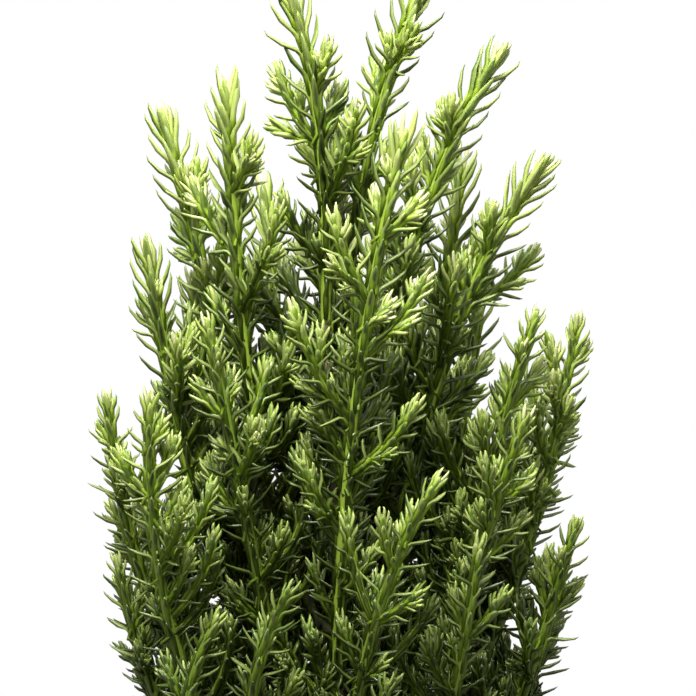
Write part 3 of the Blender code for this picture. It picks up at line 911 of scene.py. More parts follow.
# %% Spin the bed of compost
SPIN_STEPS = 128
SOIL_FLAT_RADIUS = 12 * MM
SOIL_EDGE = (40.5 * MM, 69.0 * MM)
SOIL_FLOOR = (30.2 * MM, 2.3 * MM)
SOIL_LUMPS = 0.9 * MM
SOIL_GRAIN = 260.0
SOIL_CALM_RADIUS = 5 * MM
SOIL_RINGS = 56
SOIL_SKIN = 0.5 * MM

# The compost's noise: how fast its finer scales fade, their step and number.
SOIL_NOISE = (0.8, 2.2, 5)
SOIL_MEAN = 0.3


def spun(name, corners):
    """A closed piece from an outline of (radius, height) corners, turned once round the upright axis."""
    shape = bmesh.new()
    points = [shape.verts.new((radius, 0, height)) for radius, height in corners]
    edges = [shape.edges.new(pair) for pair in zip(points, points[1:])]
    bmesh.ops.spin(
        shape, geom=points + edges, cent=(0, 0, 0), axis=(0, 0, 1), angle=2 * math.pi,
        steps=SPIN_STEPS, use_merge=True,
    )
    return smooth_piece(shape, name)


def soil_height(x, y):
    radius = math.hypot(x, y)
    flat = np.interp(radius, (SOIL_FLAT_RADIUS, SOIL_EDGE[0]), (SOIL_LEVEL, SOIL_EDGE[1]))
    calm = min(1, radius / SOIL_CALM_RADIUS) ** 2
    lumps = noise.fractal(Vector((x, y, 0)) * SOIL_GRAIN, *SOIL_NOISE)
    return float(flat + calm * SOIL_LUMPS * (lumps - SOIL_MEAN))


top_radii = np.linspace(0, SOIL_EDGE[0], SOIL_RINGS)
outline = [(float(radius), SOIL_LEVEL) for radius in top_radii] + [SOIL_FLOOR, (0.0, SOIL_FLOOR[1])]
soil_bed = spun("soil_bed", outline)
for vertex in soil_bed.data.vertices:
    if vertex.co.z > SOIL_LEVEL - SOIL_SKIN:
        vertex.co.z = soil_height(vertex.co.x, vertex.co.y)
print("soil faces:", len(soil_bed.data.polygons))

# %% [markdown]
# Crumbs of compost and, later, needles come in thousands. Joining them object by object would be slow.
# Instead the pattern's corner list is repeated, shifted for each copy, and handed to one mesh at a
# stroke. Each copy keeps a random tint for its finish to read, and each corner its place in the
# pattern: how far along it lies, and how pale it is there. The two margins are the palest, the ridge
# on the upper side is half as pale, and the keel below is dark. The paleness is partly the needle's
# own pale margins and midrib, and partly painted sheen, where light catches its edges and its top.

# %% Join copies into one mesh
# The ridge's paleness: the needle's own midrib, with a painted highlight along the top.
RIDGE_PALE_AND_SHEEN = 0.55


def joined_copies(name, pattern, corners, tints):
    """One object of many copies of a pattern, from an array of copy, corner and axis."""
    count, width = corners.shape[:2]
    copies = np.arange(count)
    loops = np.zeros(len(pattern.loops), np.int32)
    pattern.loops.foreach_get("vertex_index", loops)
    sizes = np.zeros(len(pattern.polygons), np.int32)
    pattern.polygons.foreach_get("loop_total", sizes)
    starts = np.cumsum(sizes) - sizes
    mesh = bpy.data.meshes.new(name)
    mesh.vertices.add(count * width)
    mesh.vertices.foreach_set("co", corners.astype(np.float32).ravel())
    mesh.loops.add(count * len(loops))
    mesh.loops.foreach_set("vertex_index", np.add.outer(width * copies, loops).ravel())
    mesh.polygons.add(count * len(sizes))
    mesh.polygons.foreach_set("loop_start", np.add.outer(len(loops) * copies, starts).ravel())
    mesh.update(calc_edges=True)
    mesh.shade_smooth()
    spots = [v.co for v in pattern.vertices]
    along = [spot.z for spot in spots]
    rim = [1.0 if abs(spot.x) > abs(spot.y) else RIDGE_PALE_AND_SHEEN * (spot.y > 0) for spot in spots]
    layers = {"along": np.tile(along, count), "rim": np.tile(rim, count)}
    layers["tint"] = np.repeat(tints, width)
    for label, values in layers.items():
        layer = mesh.attributes.new(label, "FLOAT", "POINT")
        layer.data.foreach_set("value", values.astype(np.float32))
    return link(bpy.data.objects.new(name, mesh))


# %% [markdown]
# Loose crumbs and chips of composted bark lie on the bed. A few lumpy patterns come from an
# icosphere pushed about by noise, and each copy is turned, stretched and set on the bed by seeded
# draws.

# %% Scatter crumbs on the compost
CRUMB_INNER_RADIUS = 3.6 * MM
CRUMB_SEED = 500
CRUMB_LUMPS = 0.45
CRUMB_GRAIN = 1.7
CHIP_TILT = 0.3
FLAT_BELOW = 0.5
CRUMB_KINDS = {
    "soil_crumbs": (1500, (0.35 * MM, 1.0 * MM), (1.0, 0.85, 0.7)),
    "soil_chips": (150, (0.9 * MM, 2.2 * MM), (1.0, 0.5, 0.22)),
    "soil_grit": (60, (0.4 * MM, 0.8 * MM), (1.0, 0.9, 0.8)),
}
SOIL_LOOKS = {
    "soil_bed": ("compost", (74, 56, 42), (30, 22, 17), 700, EVEN, (0.8, 1.0), 0.3 * MM),
    "soil_crumbs": ("crumbs", (86, 64, 46), (36, 26, 20), 900, EVEN, (0.8, 1.0), 0.15 * MM),
    "soil_chips": ("chips", (138, 96, 62), (72, 46, 30), 600, (1, 1, 0.4), (0.7, 0.95), 0.1 * MM),
    "soil_grit": ("grit", (224, 220, 210), (176, 168, 154), 1500, EVEN, (0.7, 0.9), 0.1 * MM),
}


def crumb_pattern():
    shape = bmesh.new()
    bmesh.ops.create_icosphere(shape, subdivisions=1, radius=1.0)
    for vertex in shape.verts:
        vertex.co *= 1 + CRUMB_LUMPS * noise.noise(vertex.co * CRUMB_GRAIN)
    return mesh_of(shape, "crumb")


def matrices(rows):
    """One 3 by 3 matrix for each copy, from rows whose entries hold a number for each copy."""
    return np.array(rows).transpose(2, 0, 1)


def random_turns(chance, count):
    """Rotation matrices spread evenly over all directions."""
    w, x, y, z = unit(chance.normal(size=(count, 4))).T
    return matrices([
        [1 - 2 * (y * y + z * z), 2 * (x * y - z * w), 2 * (x * z + y * w)],
        [2 * (x * y + z * w), 1 - 2 * (x * x + z * z), 2 * (y * z - x * w)],
        [2 * (x * z - y * w), 2 * (y * z + x * w), 1 - 2 * (x * x + y * y)],
    ])


def flat_turns(chance, count):
    """Rotations about the upright axis, with a small tilt."""
    turn, tilt = chance.uniform(0, 2 * math.pi, count), chance.normal(0, CHIP_TILT, count)
    one, nil = np.ones(count), np.zeros(count)
    turned = [[np.cos(turn), -np.sin(turn), nil], [np.sin(turn), np.cos(turn), nil], [nil, nil, one]]
    tipped = [[one, nil, nil], [nil, np.cos(tilt), -np.sin(tilt)], [nil, np.sin(tilt), np.cos(tilt)]]
    return matrices(turned) @ matrices(tipped)


soil_pieces = [soil_bed]
crumb = crumb_pattern()
crumb_corners = np.array([v.co for v in crumb.vertices])
for number, (name, (count, sizes, stretch)) in enumerate(CRUMB_KINDS.items()):
    chance = np.random.default_rng(CRUMB_SEED + number)
    radius = np.sqrt(chance.uniform(CRUMB_INNER_RADIUS**2, (SOIL_EDGE[0] - sizes[1]) ** 2, count))
    turn = chance.uniform(0, 2 * math.pi, count)
    across, deep = radius * np.cos(turn), radius * np.sin(turn)
    place = np.array([(x, y, soil_height(x, y)) for x, y in zip(across, deep)])
    size = chance.uniform(*sizes, count)
    flat = crumb_corners * stretch
    tilt = (flat_turns if stretch[2] < FLAT_BELOW else random_turns)(chance, count)
    corners = place[:, None] + size[:, None, None] * np.einsum("vj,nij->nvi", flat, tilt)
    soil_pieces.append(joined_copies(name, crumb, corners, chance.random(count)))
for piece in soil_pieces:
    piece.data.materials.append(earthy_finish(*SOIL_LOOKS[piece.name]))
    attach(piece, "root")
    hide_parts("soil")
print("soil pieces:", {piece.name: len(piece.data.polygons) for piece in soil_pieces})

# %% [markdown]
# The pot is a thin moulded shell. Its outline runs up the inside, over the rim and down the outside,
# with every corner rounded by a bevel before the spin. The drain holes are cut by a boolean with
# plain rods, and its result is kept while the rods are thrown away.

# %% Mould the pot
POT_OUTLINE = (
    (0.0, 2.0), (30.9, 2.0), (41.4, 70.0), (43.6, 72.2), (43.6, 80.0),
    (45.0, 80.0), (45.0, 70.0), (42.8, 70.0), (32.0, 0.0), (27.0, 0.0), (26.5, 0.8), (0.0, 0.8),
)
POT_ROUNDING = 0.6 * MM
DRAIN_HOLES = 5
DRAIN_RADIUS = 3.5 * MM
DRAIN_RING = 21 * MM
DRAIN_DEPTH = 6 * MM
DRAIN_SIDES = 32
POT_LOOK = ("moulded_pot", (64, 62, 60), (44, 43, 42), 350, (1, 1, 0.5), (0.38, 0.55), 0.03 * MM)


def rounded_outline(corners, rounding):
    """The outline with each inner corner cut into a small arc, as (radius, height) pairs."""
    shape = bmesh.new()
    points = [shape.verts.new((radius * MM, 0, height * MM)) for radius, height in corners]
    for pair in zip(points, points[1:]):
        shape.edges.new(pair)
    bmesh.ops.bevel(
        shape, geom=points[1:-1], offset=rounding, offset_type="OFFSET", segments=4, profile=0.5,
        affect="VERTICES", material=-1,
    )
    here = min(shape.verts, key=lambda v: (v.co.x, -v.co.z))
    outline, last = [], None
    while here:
        outline.append((here.co.x, here.co.z))
        onward = [edge.other_vert(here) for edge in here.link_edges if edge.other_vert(here) is not last]
        last, here = here, onward[0] if onward else None
    shape.free()
    return outline


pot = spun("pot_shell", rounded_outline(POT_OUTLINE, POT_ROUNDING))
rods = bmesh.new()
for turn in 2 * math.pi * np.arange(DRAIN_HOLES) / DRAIN_HOLES:
    made = bmesh.ops.create_cone(
        rods, cap_ends=True, segments=DRAIN_SIDES, depth=DRAIN_DEPTH,
        radius1=DRAIN_RADIUS, radius2=DRAIN_RADIUS,
    )
    place = (DRAIN_RING * math.cos(turn), DRAIN_RING * math.sin(turn), 0)
    bmesh.ops.translate(rods, verts=made["verts"], vec=place)
rod = link(bpy.data.objects.new("drain_rods", mesh_of(rods, "drain_rods")))
cut = pot.modifiers.new("drain holes", "BOOLEAN")
cut.operation = "DIFFERENCE"
cut.object = rod
holed = bpy.data.meshes.new_from_object(pot.evaluated_get(bpy.context.evaluated_depsgraph_get()))
pot.modifiers.remove(cut)
pot.data = holed
bpy.data.objects.remove(rod)
holed.materials.clear()
holed.materials.append(earthy_finish(*POT_LOOK))
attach(pot, "root")
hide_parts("pot")
print("pot faces:", len(holed.polygons))

# %% [markdown]
# Young Lawson cypress has soft awl-shaped needles: flat, keeled below, widest near the foot and drawn
# out to a point. The foot of each runs down the stem. One needle is shaped here as a pattern. A
# four-cornered face is drawn out ring by ring with extrude, and the last face is poked to a point.
# It lies along +Z, one unit long and one unit wide, and its foot reaches down to -1. Needles on small
# shoots have fewer rings, and those in the heart of the crown the fewest.

# %% Shape one needle
NEEDLE_RINGS = {
    "long": ((-1.0, 0.7), (0.0, 1.05), (0.16, 1.0), (0.5, 0.98), (0.85, 0.56)),
    "short": ((-1.0, 0.65), (0.0, 1.0), (0.25, 1.0), (0.75, 0.74)),
    "hidden": ((-1.0, 0.7), (0.1, 1.0), (0.6, 0.95)),
}
KEEL, RIDGE = -0.5, 0.18
SECTION = ((-0.5, 0), (0, KEEL), (0.5, 0), (0, RIDGE))


def needle_pattern(name, rings):
    shape = bmesh.new()
    bmesh.ops.create_circle(shape, cap_ends=True, segments=4, radius=0.5)
    shape.faces.ensure_lookup_table()
    end = shape.faces[0]
    for number, (height, width) in enumerate(rings):
        if number:
            end = bmesh.ops.extrude_discrete_faces(shape, faces=[end])["faces"][0]
        for corner, (across, up) in zip(end.verts, SECTION):
            corner.co = (across * width, up * width, height)
    point = bmesh.ops.poke(shape, faces=[end])["verts"][0]
    point.co = (0, 0, 1)
    bmesh.ops.holes_fill(shape, edges=[e for e in shape.edges if e.is_boundary], sides=4)
    bmesh.ops.recalc_face_normals(shape, faces=shape.faces)
    return mesh_of(shape, name)


PATTERNS = {kind: needle_pattern(kind + "_needle", rings) for kind, rings in NEEDLE_RINGS.items()}
for name, mesh in PATTERNS.items():
    mesh.calc_loop_triangles()
    print(name, "needle triangles:", len(mesh.loop_triangles))

# %% [markdown]
# Needles stand in opposite pairs, each pair a quarter turn from the last. Round the growing tip the
# pairs crowd together and their needles curve in. Further down they stand apart, and curve out.
# A table for each kind of shoot says how, by the distance below its tip in millimetres, and the rest
# is read between its rows. Lengths are in millimetres too, and the angles to the stem in degrees.
# Two of the four rows of needles face the front and the back. On shoots that stand there they look
# out of the spray and stay short and close to the stem. At the sides of the crown they are full.
# The turns, in degrees, and the spreads are how much one needle differs from the next.

# %% Say how needles change along a shoot
HABITS = {
    "main": {
        "below": (0, 2, 5, 9, 16, 40, 80),
        "spacing": (0.9, 1.1, 1.5, 1.8, 2.0, 2.6, 3.2),
        "length": (4.6, 6.2, 7.4, 8.0, 7.6, 6.4, 5.6),
        "width": (1.2, 1.4, 1.4, 1.28, 1.18, 1.08, 1.02),
        "leave": (4, 15, 33, 42, 48, 54, 58),
        "end": (-4, -6, -4, 4, 14, 30, 40),
        "pattern": "long",
        "stem": (0.4, 0.55, 0.68, 0.76, 0.84, 0.92, 1.0),
    },
    "low": {
        "below": (0, 1, 3, 6, 12, 25, 60),
        "spacing": (0.7, 0.95, 1.45, 2.0, 2.4, 2.8, 3.2),
        "length": (2.5, 3.0, 3.7, 4.6, 5.6, 6.0, 5.8),
        "width": (0.95, 1.06, 1.06, 1.04, 1.0, 0.96, 0.96),
        "leave": (5, 16, 34, 50, 60, 64, 66),
        "end": (-6, -4, 6, 20, 34, 42, 46),
        "pattern": "long",
        "stem": (0.35, 0.5, 0.6, 0.68, 0.76, 0.86, 1.0),
    },
    "side": {
        "below": (0, 1, 3, 6, 12, 25),
        "spacing": (0.6, 0.8, 1.25, 1.65, 1.9, 2.1),
        "length": (2.8, 3.5, 4.0, 4.5, 4.8, 4.9),
        "width": (1.05, 1.22, 1.2, 1.1, 1.02, 0.96),
        "leave": (6, 15, 34, 52, 60, 64),
        "end": (-6, -4, 6, 24, 38, 44),
        "pattern": "long",
        "stem": (0.3, 0.44, 0.54, 0.6, 0.66, 0.74),
    },
    "twig": {
        "below": (0, 1, 3, 6, 12),
        "spacing": (0.7, 0.85, 1.15, 1.4, 1.6),
        "length": (2.3, 2.9, 3.5, 4.0, 4.3),
        "width": (1.0, 1.14, 1.12, 1.0, 0.96),
        "leave": (6, 15, 32, 48, 54),
        "end": (-6, -3, 8, 24, 36),
        "pattern": "short",
        "stem": (0.25, 0.33, 0.4, 0.45, 0.5),
    },
    "limb": {
        "below": (0, 20, 60),
        "spacing": (1.3, 1.6, 1.9),
        "length": (5.4, 5.0, 4.6),
        "width": (1.0, 0.96, 0.92),
        "leave": (56, 62, 66),
        "end": (42, 50, 56),
        "pattern": "long",
        "stem": (0.9, 1.1, 1.3),
    },
    "bud": {
        "below": (0, 0.8, 2.4),
        "spacing": (0.4, 0.5, 0.7),
        "length": (2.3, 2.9, 3.2),
        "width": (0.9, 1.15, 1.2),
        "leave": (10, 20, 28),
        "end": (-14, -10, 4),
        "pattern": "short",
        "stem": (0.25, 0.4, 0.45),
    },
}
ARCH = 10
ROLL = 24
RANK_TURN = 13
PAIR_TURN = 9
LEAVE_TURN = 5
END_TURN = 9
TIP_CLEAR = 0.1
FOOT_CLEAR = 0.4
SPACING_SPREAD = (0.9, 1.1)
SIZE_SPREAD = 0.09
SIZE_LIMITS = (0.75, 1.25)
WIDTH_SPREAD = 0.06
ROOT_SPACINGS = 1.8
ROOT_LONGEST = 4.0
FACING_FROM = 0.7
FACING_SHARES = (0.2, 1.0), (1.0, 0.52)
FACING_LEANS = (0.2, 1.0), (1.0, 0.6)

# The tones of needles from the youngest to the oldest, and the distance below its tip, in
# millimetres, at which a needle on each kind of shoot passes to the next tone. The older tones are
# partly painted shade: needles in the heart of the crown and on the limbs are pushed into them, and
# the last tone, shaded, is painted shade.
TONES = ("cream", "pale", "young", "mid", "deep", "shaded")
TONE_STEPS = {
    "main": (0.5, 1.2, 2.6, 14.0, 120.0),
    "low": (0.4, 1.4, 3.6, 14.0, 80.0),
    "side": (0.2, 0.8, 4.2, 19.0, 70.0),
    "twig": (0.12, 0.6, 3.3, 11.0, 38.0),
    "bud": (0.4, 1.2, 5.0, 16.0, 40.0),
    "limb": (0.0, 0.0, 0.0, 0.0, 60.0),
}
TONE_SPREAD = 0.15
STEP_SPREAD = (0.6, 1.4)
AGEING = 0.6

# How wide the crown is at each height above the soil, and how a needle's place between the middle and
# that edge shifts its tone: the steps shrink to this share of themselves. This is painted shade: the
# deeper a needle lies in the crown, the sooner it takes the darker tones.
CROWN_HEIGHTS = np.array((10, 30, 60, 100, 120, 135, 150, 178)) * MM
CROWN_RADII = np.array((38, 46, 47, 45, 34, 16, 7, 3)) * MM
SHADE_PLACES = (0.3, 0.6, 0.8, 0.92)
SHADE_SHARES = (0.06, 0.22, 0.7, 1.0)
PLACE_SPREAD = 0.04

AGEING_DEPTH = 70 * MM
VIGOUR_HEIGHTS = np.array((40, 80, 115, 145)) * MM
VIGOUR_SIZES = {"main": (0.8, 0.8, 0.85, 1.0), "low": (0.8, 0.95, 1.0, 1.0)}
SIDE_VIGOUR = (0.62, 0.74, 0.95, 1.0)
# Shoots that end below the upper height pass sooner to the older, darker tones, and those below the lower
# one take only the darkest: partly their age, partly painted shade low in the crown.
FRESH_AND_LIT_HEIGHTS = (46 * MM, 98 * MM)
FRESH_AND_LIT_POWERS = np.array([3.0, 2.6, 2.3, 2.1, 1.4])
Needles = namedtuple("Needles", "base heading out length width leave end arch roll root tone tint")


def read(habit, row, below):
    return np.interp(below, habit["below"], habit[row])


def vigour(shoot):
    """How large the needles of a shoot grow. Those that end low in the crown are the smaller."""
    tip_height = shoot.path.points[-1, 2] - SOIL_LEVEL
    return float(np.interp(tip_height, VIGOUR_HEIGHTS, VIGOUR_SIZES.get(shoot.kind, SIDE_VIGOUR)))


def grow_needles(shoot, number):
    """All needles of one shoot, as arrays with one row for each needle."""
    habit = HABITS[shoot.kind]
    chance = np.random.default_rng(number + 1)
    nodes, below = [], TIP_CLEAR
    while below < shoot.path.length / MM - FOOT_CLEAR:
        nodes.append(below)
        below += read(habit, "spacing", below) * chance.uniform(*SPACING_SPREAD)
    below = np.repeat(nodes, 2)
    count = len(below)
    distance = shoot.path.length - below * MM
    point, heading = shoot.path.at(distance), shoot.path.heading(distance)
    first = unit(np.cross(heading, UP + 2 * FRONT))
    second = np.cross(heading, first)
    turn = np.repeat(np.arange(len(nodes)), 2) * math.pi / 2 + np.tile([0, math.pi], len(nodes))
    turn = turn + math.radians(chance.normal(0, RANK_TURN))
    turn = turn + chance.normal(0, math.radians(PAIR_TURN), count)
    out = np.cos(turn)[:, None] * first + np.sin(turn)[:, None] * second
    stem = read(habit, "stem", below) * MM
    grown = vigour(shoot)
    size = chance.normal(1, SIZE_SPREAD, count).clip(*SIZE_LIMITS) * grown
    facing = (np.abs(np.sin(turn)) > FACING_FROM) & (shoot.kind != "limb")
    middle = shoot.path.points.mean(axis=0) * [1, 1, 0]
    frontal = abs(unit(middle).dot(FRONT))
    size = size * np.where(facing, np.interp(frontal, *FACING_SHARES), 1)
    lean = np.where(facing, np.interp(frontal, *FACING_LEANS), 1)
    age = shoot.depth / AGEING_DEPTH
    steps = np.array(TONE_STEPS[shoot.kind]) * chance.uniform(*STEP_SPREAD) / (1 + AGEING * age)
    # Painted shade low in the crown, partly age: shoots that end low take the darker tones sooner.
    fresh_and_lit = np.interp(shoot.path.points[-1, 2] - SOIL_LEVEL, FRESH_AND_LIT_HEIGHTS, (0, 1))
    steps = steps * fresh_and_lit ** FRESH_AND_LIT_POWERS
    # Painted shade: a needle nearer the middle of the crown than its edge passes sooner to darker tones.
    edge = np.interp(point[:, 2] - SOIL_LEVEL, CROWN_HEIGHTS, CROWN_RADII)
    place = np.hypot(point[:, 0], point[:, 1]) / edge + chance.normal(0, PLACE_SPREAD, count)
    lit = np.interp(place, SHADE_PLACES, SHADE_SHARES)
    return Needles(
        base=point + out * stem[:, None],
        heading=heading,
        out=out,
        length=read(habit, "length", below) * size * MM,
        width=read(habit, "width", below) * chance.normal(1, WIDTH_SPREAD, count) * grown ** 0.5 * MM,
        leave=np.radians(read(habit, "leave", below) * lean + chance.normal(0, LEAVE_TURN, count)),
        end=np.radians(read(habit, "end", below) * lean + chance.normal(0, END_TURN, count)),
        arch=np.radians(chance.normal(ARCH, ARCH / 2, count)),
        roll=np.radians(chance.normal(0, ROLL, count)),
        root=np.minimum(read(habit, "spacing", below) * ROOT_SPACINGS, ROOT_LONGEST) * MM,
        tone=np.searchsorted(steps, below * chance.normal(1, TONE_SPREAD, count) / lit),
        tint=chance.random(count),
    )


sizes = {kind: (min(habit["length"]), max(habit["length"])) for kind, habit in HABITS.items()}
print("needle lengths in mm:", sizes)

# %% [markdown]
# To place a needle, its pattern is bent along a curve. The needle first follows the stem, then bends
# away from it, and turns up to another angle at its point. Adding up short steps in the changing
# direction gives the middle line, and numpy does so for every needle of a shoot at once. Each needle
# also rolls a little about its own length, so that some show their flat side and some their edge.

# %% Bend the pattern along each needle's curve
SUNK = 0.05 * MM
START_SHARE = 0.3
BEND_BY = 0.2
CURVE_STEPS = 12


def column(values):
    return np.asarray(values)[:, None, None]


def walked(steps, free):
    """The distance covered by the time each share of the way is reached, for steps taken in turn."""
    total = np.concatenate([np.zeros((len(steps), 1)), np.cumsum(steps, axis=1)], axis=1) / CURVE_STEPS
    before = np.minimum((free * CURVE_STEPS).astype(int), CURVE_STEPS - 1)
    beyond = free * CURVE_STEPS - before
    return total[:, before] * (1 - beyond) + total[:, before + 1] * beyond


def bent_needles(pattern, needles):
    """The corners of all the needles, as an array of needle, corner and axis."""
    across, up, height = np.array([v.co for v in pattern.vertices]).T
    free, rooted = height.clip(0, 1), height.clip(-1, 0)

    def angle(share):
        turned = needles.leave[:, None] + (needles.end - needles.leave)[:, None] * share
        turned = turned * np.interp(share, (0, BEND_BY), (START_SHARE, 1))
        return turned + needles.arch[:, None] * np.sin(math.pi * share)

    mid_steps = angle((np.arange(CURVE_STEPS) + 0.5) / CURVE_STEPS)
    rise, spread = walked(np.cos(mid_steps), free), walked(np.sin(mid_steps), free)
    lean = np.where(rooted < 0, 0.0, angle(free))[..., None]
    roll = (needles.roll[:, None] * np.minimum(2 * free, 1))[..., None]
    heading, out = needles.heading[:, None], needles.out[:, None]
    beside = np.cross(heading, out)
    inward = np.sin(lean) * heading - np.cos(lean) * out
    middle = (
        needles.base[:, None]
        + column(needles.length) * (rise[..., None] * heading + spread[..., None] * out)
        + column(needles.root) * rooted[None, :, None] * heading
        + SUNK * rooted[None, :, None] * out
    )
    width_way = np.cos(roll) * beside + np.sin(roll) * inward
    depth_way = np.cos(roll) * inward - np.sin(roll) * beside
    section = across[None, :, None] * width_way + up[None, :, None] * depth_way
    return middle + column(needles.width) * section


# %% [markdown]
# A needle that would run into another mass or a limb is left out, as in the solids. What is kept is
# sorted by pattern and tone, so that each tone becomes a piece with a colour of its own.

# %% Deal the needles out
NEEDLE_OVERLAP = 1.5 * MM
NEEDLE_CLEAR = 0.3 * MM


def fits(name, points):
    """Which of the needles have this point where their mass may grow."""
    own, off_limbs, off_soil = spare_room(name, points)
    return (own > -NEEDLE_OVERLAP) & (off_limbs > NEEDLE_CLEAR) & (off_soil > NEEDLE_CLEAR)


dealt = {}
for number, shoot in enumerate(shoots):
    needles = grow_needles(shoot, number)
    if not len(needles.length):
        continue
    kind = "hidden" if shoot.mass == INNER else HABITS[shoot.kind]["pattern"]
    pattern = PATTERNS[kind]
    corners = bent_needles(pattern, needles)
    point = int(np.argmax([v.co.z for v in pattern.vertices]))
    keep = fits(shoot.mass, corners[:, point]) & fits(shoot.mass, corners.mean(axis=1))
    for tone in range(len(TONES)):
        rows = keep & (needles.tone == tone)
        if rows.any():
            dealt.setdefault((kind, tone), []).append((corners[rows], needles.tint[rows]))
counts = {
    f"{TONES[tone]} {kind}": sum(len(rows) for rows, _ in found) for (kind, tone), found in dealt.items()
}
print("needles:", counts, "in all:", sum(counts.values()))

# %% [markdown]
# A needle is waxy and a little translucent. Its finish mixes a lighter and a darker shade of one tone:
# by needle, so that neighbours differ, across the needle, whose margins are pale, partly in their own
# colour and partly as painted sheen, and by a fine noise.
# Towards its foot it takes a green of its own, darker at the margins as painted shade in the grooves
# between the feet, so that the feet show on the stem like tiles. The mixing is one node group that
# every tone shares, with colours as its inputs.

# %% Mix the shades of living tissue
LEAF_GRAIN = {"Scale": 1800, "Detail": 3}
LEAF_GLOSS = (0.3, 0.46)
TINT_SHARE = 0.8
GRAIN_SHARE = 0.5
MARGIN_PALE_AND_SHEEN = (0, -0.85)
MARGIN_FROM = 0.3
FOOT_GROOVE_SHADE = (0, 0.5)
FOOT_ENDS = (-0.2, 0.18)
LEAF_BUMP = {"Strength": 0.25, "Distance": 0.05 * MM}
GLOW_REACH = {"Subsurface Radius": (0.6, 1.0, 0.2), "Subsurface Scale": 0.6 * MM}


def leaf_shades():
    colors = [(label, "Color") for label in ("Light", "Dark", "Foot")]
    group, inside, outside = new_group("leaf_shades", colors)
    labels = ("tint", "along", "rim")
    tint, along, rim = (node(group, "Attribute", attribute_name=label).outputs["Fac"] for label in labels)
    place = node(group, "TexCoord").outputs["Object"]
    speckle = node(group, "TexNoise", {"Vector": place, **LEAF_GRAIN}).outputs["Fac"]
    # The margins take the light colour: partly their own paleness, partly painted sheen.
    margin = ranged(group, rim, (MARGIN_FROM, 1), MARGIN_PALE_AND_SHEEN)
    share = node(group, "Math", {0: tint, 1: TINT_SHARE, 2: margin}, operation="MULTIPLY_ADD")
    grain = {0: speckle, 1: GRAIN_SHARE, 2: share.outputs["Value"]}
    grained = node(group, "Math", grain, operation="MULTIPLY_ADD", use_clamp=True)
    blade = mixed(group, grained.outputs["Value"], inside["Light"], inside["Dark"])
    # Painted shade: each foot darkens towards its margins, in the groove where it meets the next.
    groove_shade = ranged(group, rim, (RIDGE_PALE_AND_SHEEN, 1), FOOT_GROOVE_SHADE)
    foot = mixed(group, groove_shade, inside["Foot"], inside["Dark"])
    color = mixed(group, ranged(group, along, FOOT_ENDS), foot, blade)
    gloss = ranged(group, speckle, (0, 1), LEAF_GLOSS)
    feed(group, outside, {"Color": color, "Roughness": gloss, "Height": speckle})
    return group


LEAF_SHADES = leaf_shades()


def living_finish(name, light, dark, foot, glow=0.0):
    """A finish for needles and green stems. Glow is the share of light that passes through."""
    made, tree = new_material(name)
    colors = {"Light": screen_color(light), "Dark": screen_color(dark), "Foot": screen_color(foot)}
    shades = node(tree, "Group", colors, node_tree=LEAF_SHADES).outputs
    join_finish(tree, shades, shades["Roughness"], LEAF_BUMP, {"Subsurface Weight": glow, **GLOW_REACH})
    return made


print("nodes in the group:", len(LEAF_SHADES.nodes))

# %% [markdown]
# Each of the six tones gets its colours as a screen shows them: the light one, the dark one and the
# foot's, and how much light passes through. The youngest needles are the palest and the most
# translucent. All needles of one pattern and tone are joined into one piece, or into several where
# one would be too heavy to export.

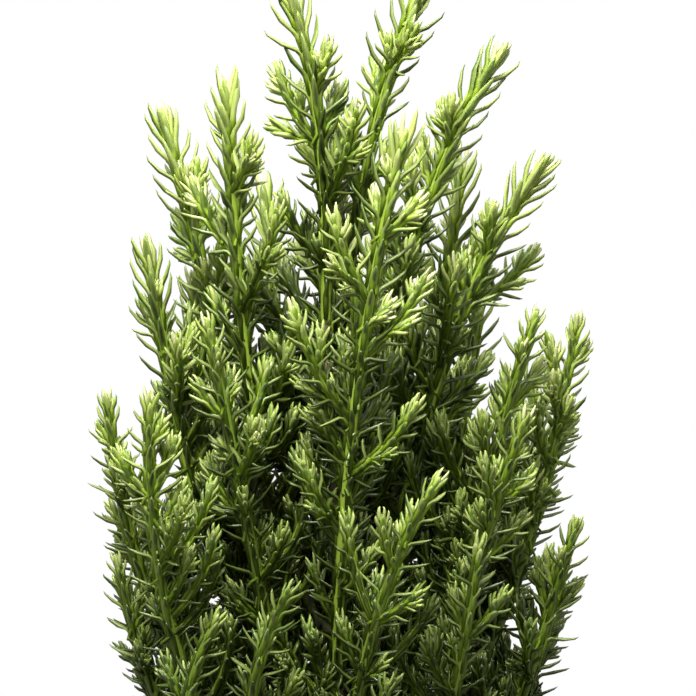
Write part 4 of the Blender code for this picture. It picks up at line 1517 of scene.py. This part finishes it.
# %% Finish and join the needles
# Each tone's light colour, on the margins, is partly painted sheen. The deep and shaded tones carry the
# painted shade of the crown's heart and of its lower part.
TONE_COLORS = {
    "cream": ((202, 203, 158), (170, 179, 104), (156, 173, 82), 0.2),
    "pale": ((180, 190, 122), (124, 151, 40), (144, 166, 60), 0.15),
    "young": ((164, 180, 92), (90, 121, 12), (142, 168, 46), 0.1),
    "mid": ((158, 172, 96), (68, 100, 11), (140, 168, 44), 0.1),
    "deep": ((121, 137, 68), (39, 65, 5), (118, 146, 32), 0.08),
    "shaded": ((74, 90, 28), (32, 47, 4), (86, 108, 22), 0.0),
}
PIECE_TRIANGLES = 190000
finishes = {tone: living_finish(f"needle_{tone}", *values) for tone, values in TONE_COLORS.items()}
foliage_nodes = ["foliage_" + name for name in STEMS]
for (kind, tone), found in sorted(dealt.items()):
    corners = np.concatenate([rows for rows, _ in found])
    tints = np.concatenate([values for _, values in found])
    pattern = PATTERNS[kind]
    triangles = len(pattern.loop_triangles)
    batches = math.ceil(len(corners) * triangles / PIECE_TRIANGLES)
    for batch in range(batches):
        part = slice(batch * len(corners) // batches, (batch + 1) * len(corners) // batches)
        name = f"needles_{TONES[tone]}_{kind}_{batch + 1}"
        piece = joined_copies(name, pattern, corners[part], tints[part])
        piece.data.materials.append(finishes[TONES[tone]])
        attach(piece, "root")
        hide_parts(*foliage_nodes)
        print(name, "triangles:", (part.stop - part.start) * triangles)

# %% [markdown]
# Under the needles run the green stems. They are tubes as the boughs are, as thick at each place as
# the table of habits says. The feet of the needles lie over them like tiles.

# %% Draw the green stems
HIDDEN_RING_STEPS = 2

# For each kind its finish, the sides of its tube, the step between rings in millimetres, and colours.
STEM_KINDS = {
    "main": ("stem_old", 10, 1.2, ((140, 162, 58), (98, 124, 30), (120, 144, 44))),
    # The stems of shoots that end low are darker: painted shade low in the crown.
    "low": ("stem_low_shaded", 10, 1.2, ((116, 138, 48), (76, 99, 24), (98, 120, 38))),
    "side": ("stem_side", 6, 1.6, ((130, 152, 50), (88, 112, 26), (110, 132, 38))),
    "twig": ("stem_twig", 6, 1.2, ((156, 176, 68), (116, 138, 34), (136, 157, 50))),
    "bud": ("stem_bud", 6, 0.8, ((190, 200, 110), (150, 168, 74), (170, 184, 92))),
}
for kind, (finish_name, sides, step, colors) in STEM_KINDS.items():
    runs = []
    for shoot in (shoot for shoot in shoots if shoot.kind == kind):
        ring_step = step * MM * (HIDDEN_RING_STEPS if shoot.mass == INNER else 1)
        rings = max(3, round(shoot.path.length / ring_step) + 1)
        distance = np.linspace(0, shoot.path.length, rings)
        below = (shoot.path.length - distance) / MM
        runs.append((shoot.path.at(distance), read(HABITS[kind], "stem", below) * MM))
    piece = tubes(f"stems_{kind}", runs, sides)
    piece.data.materials.append(living_finish(finish_name, *colors))
    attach(piece, "root")
    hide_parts(*foliage_nodes)
    print(piece.name, "faces:", len(piece.data.polygons))
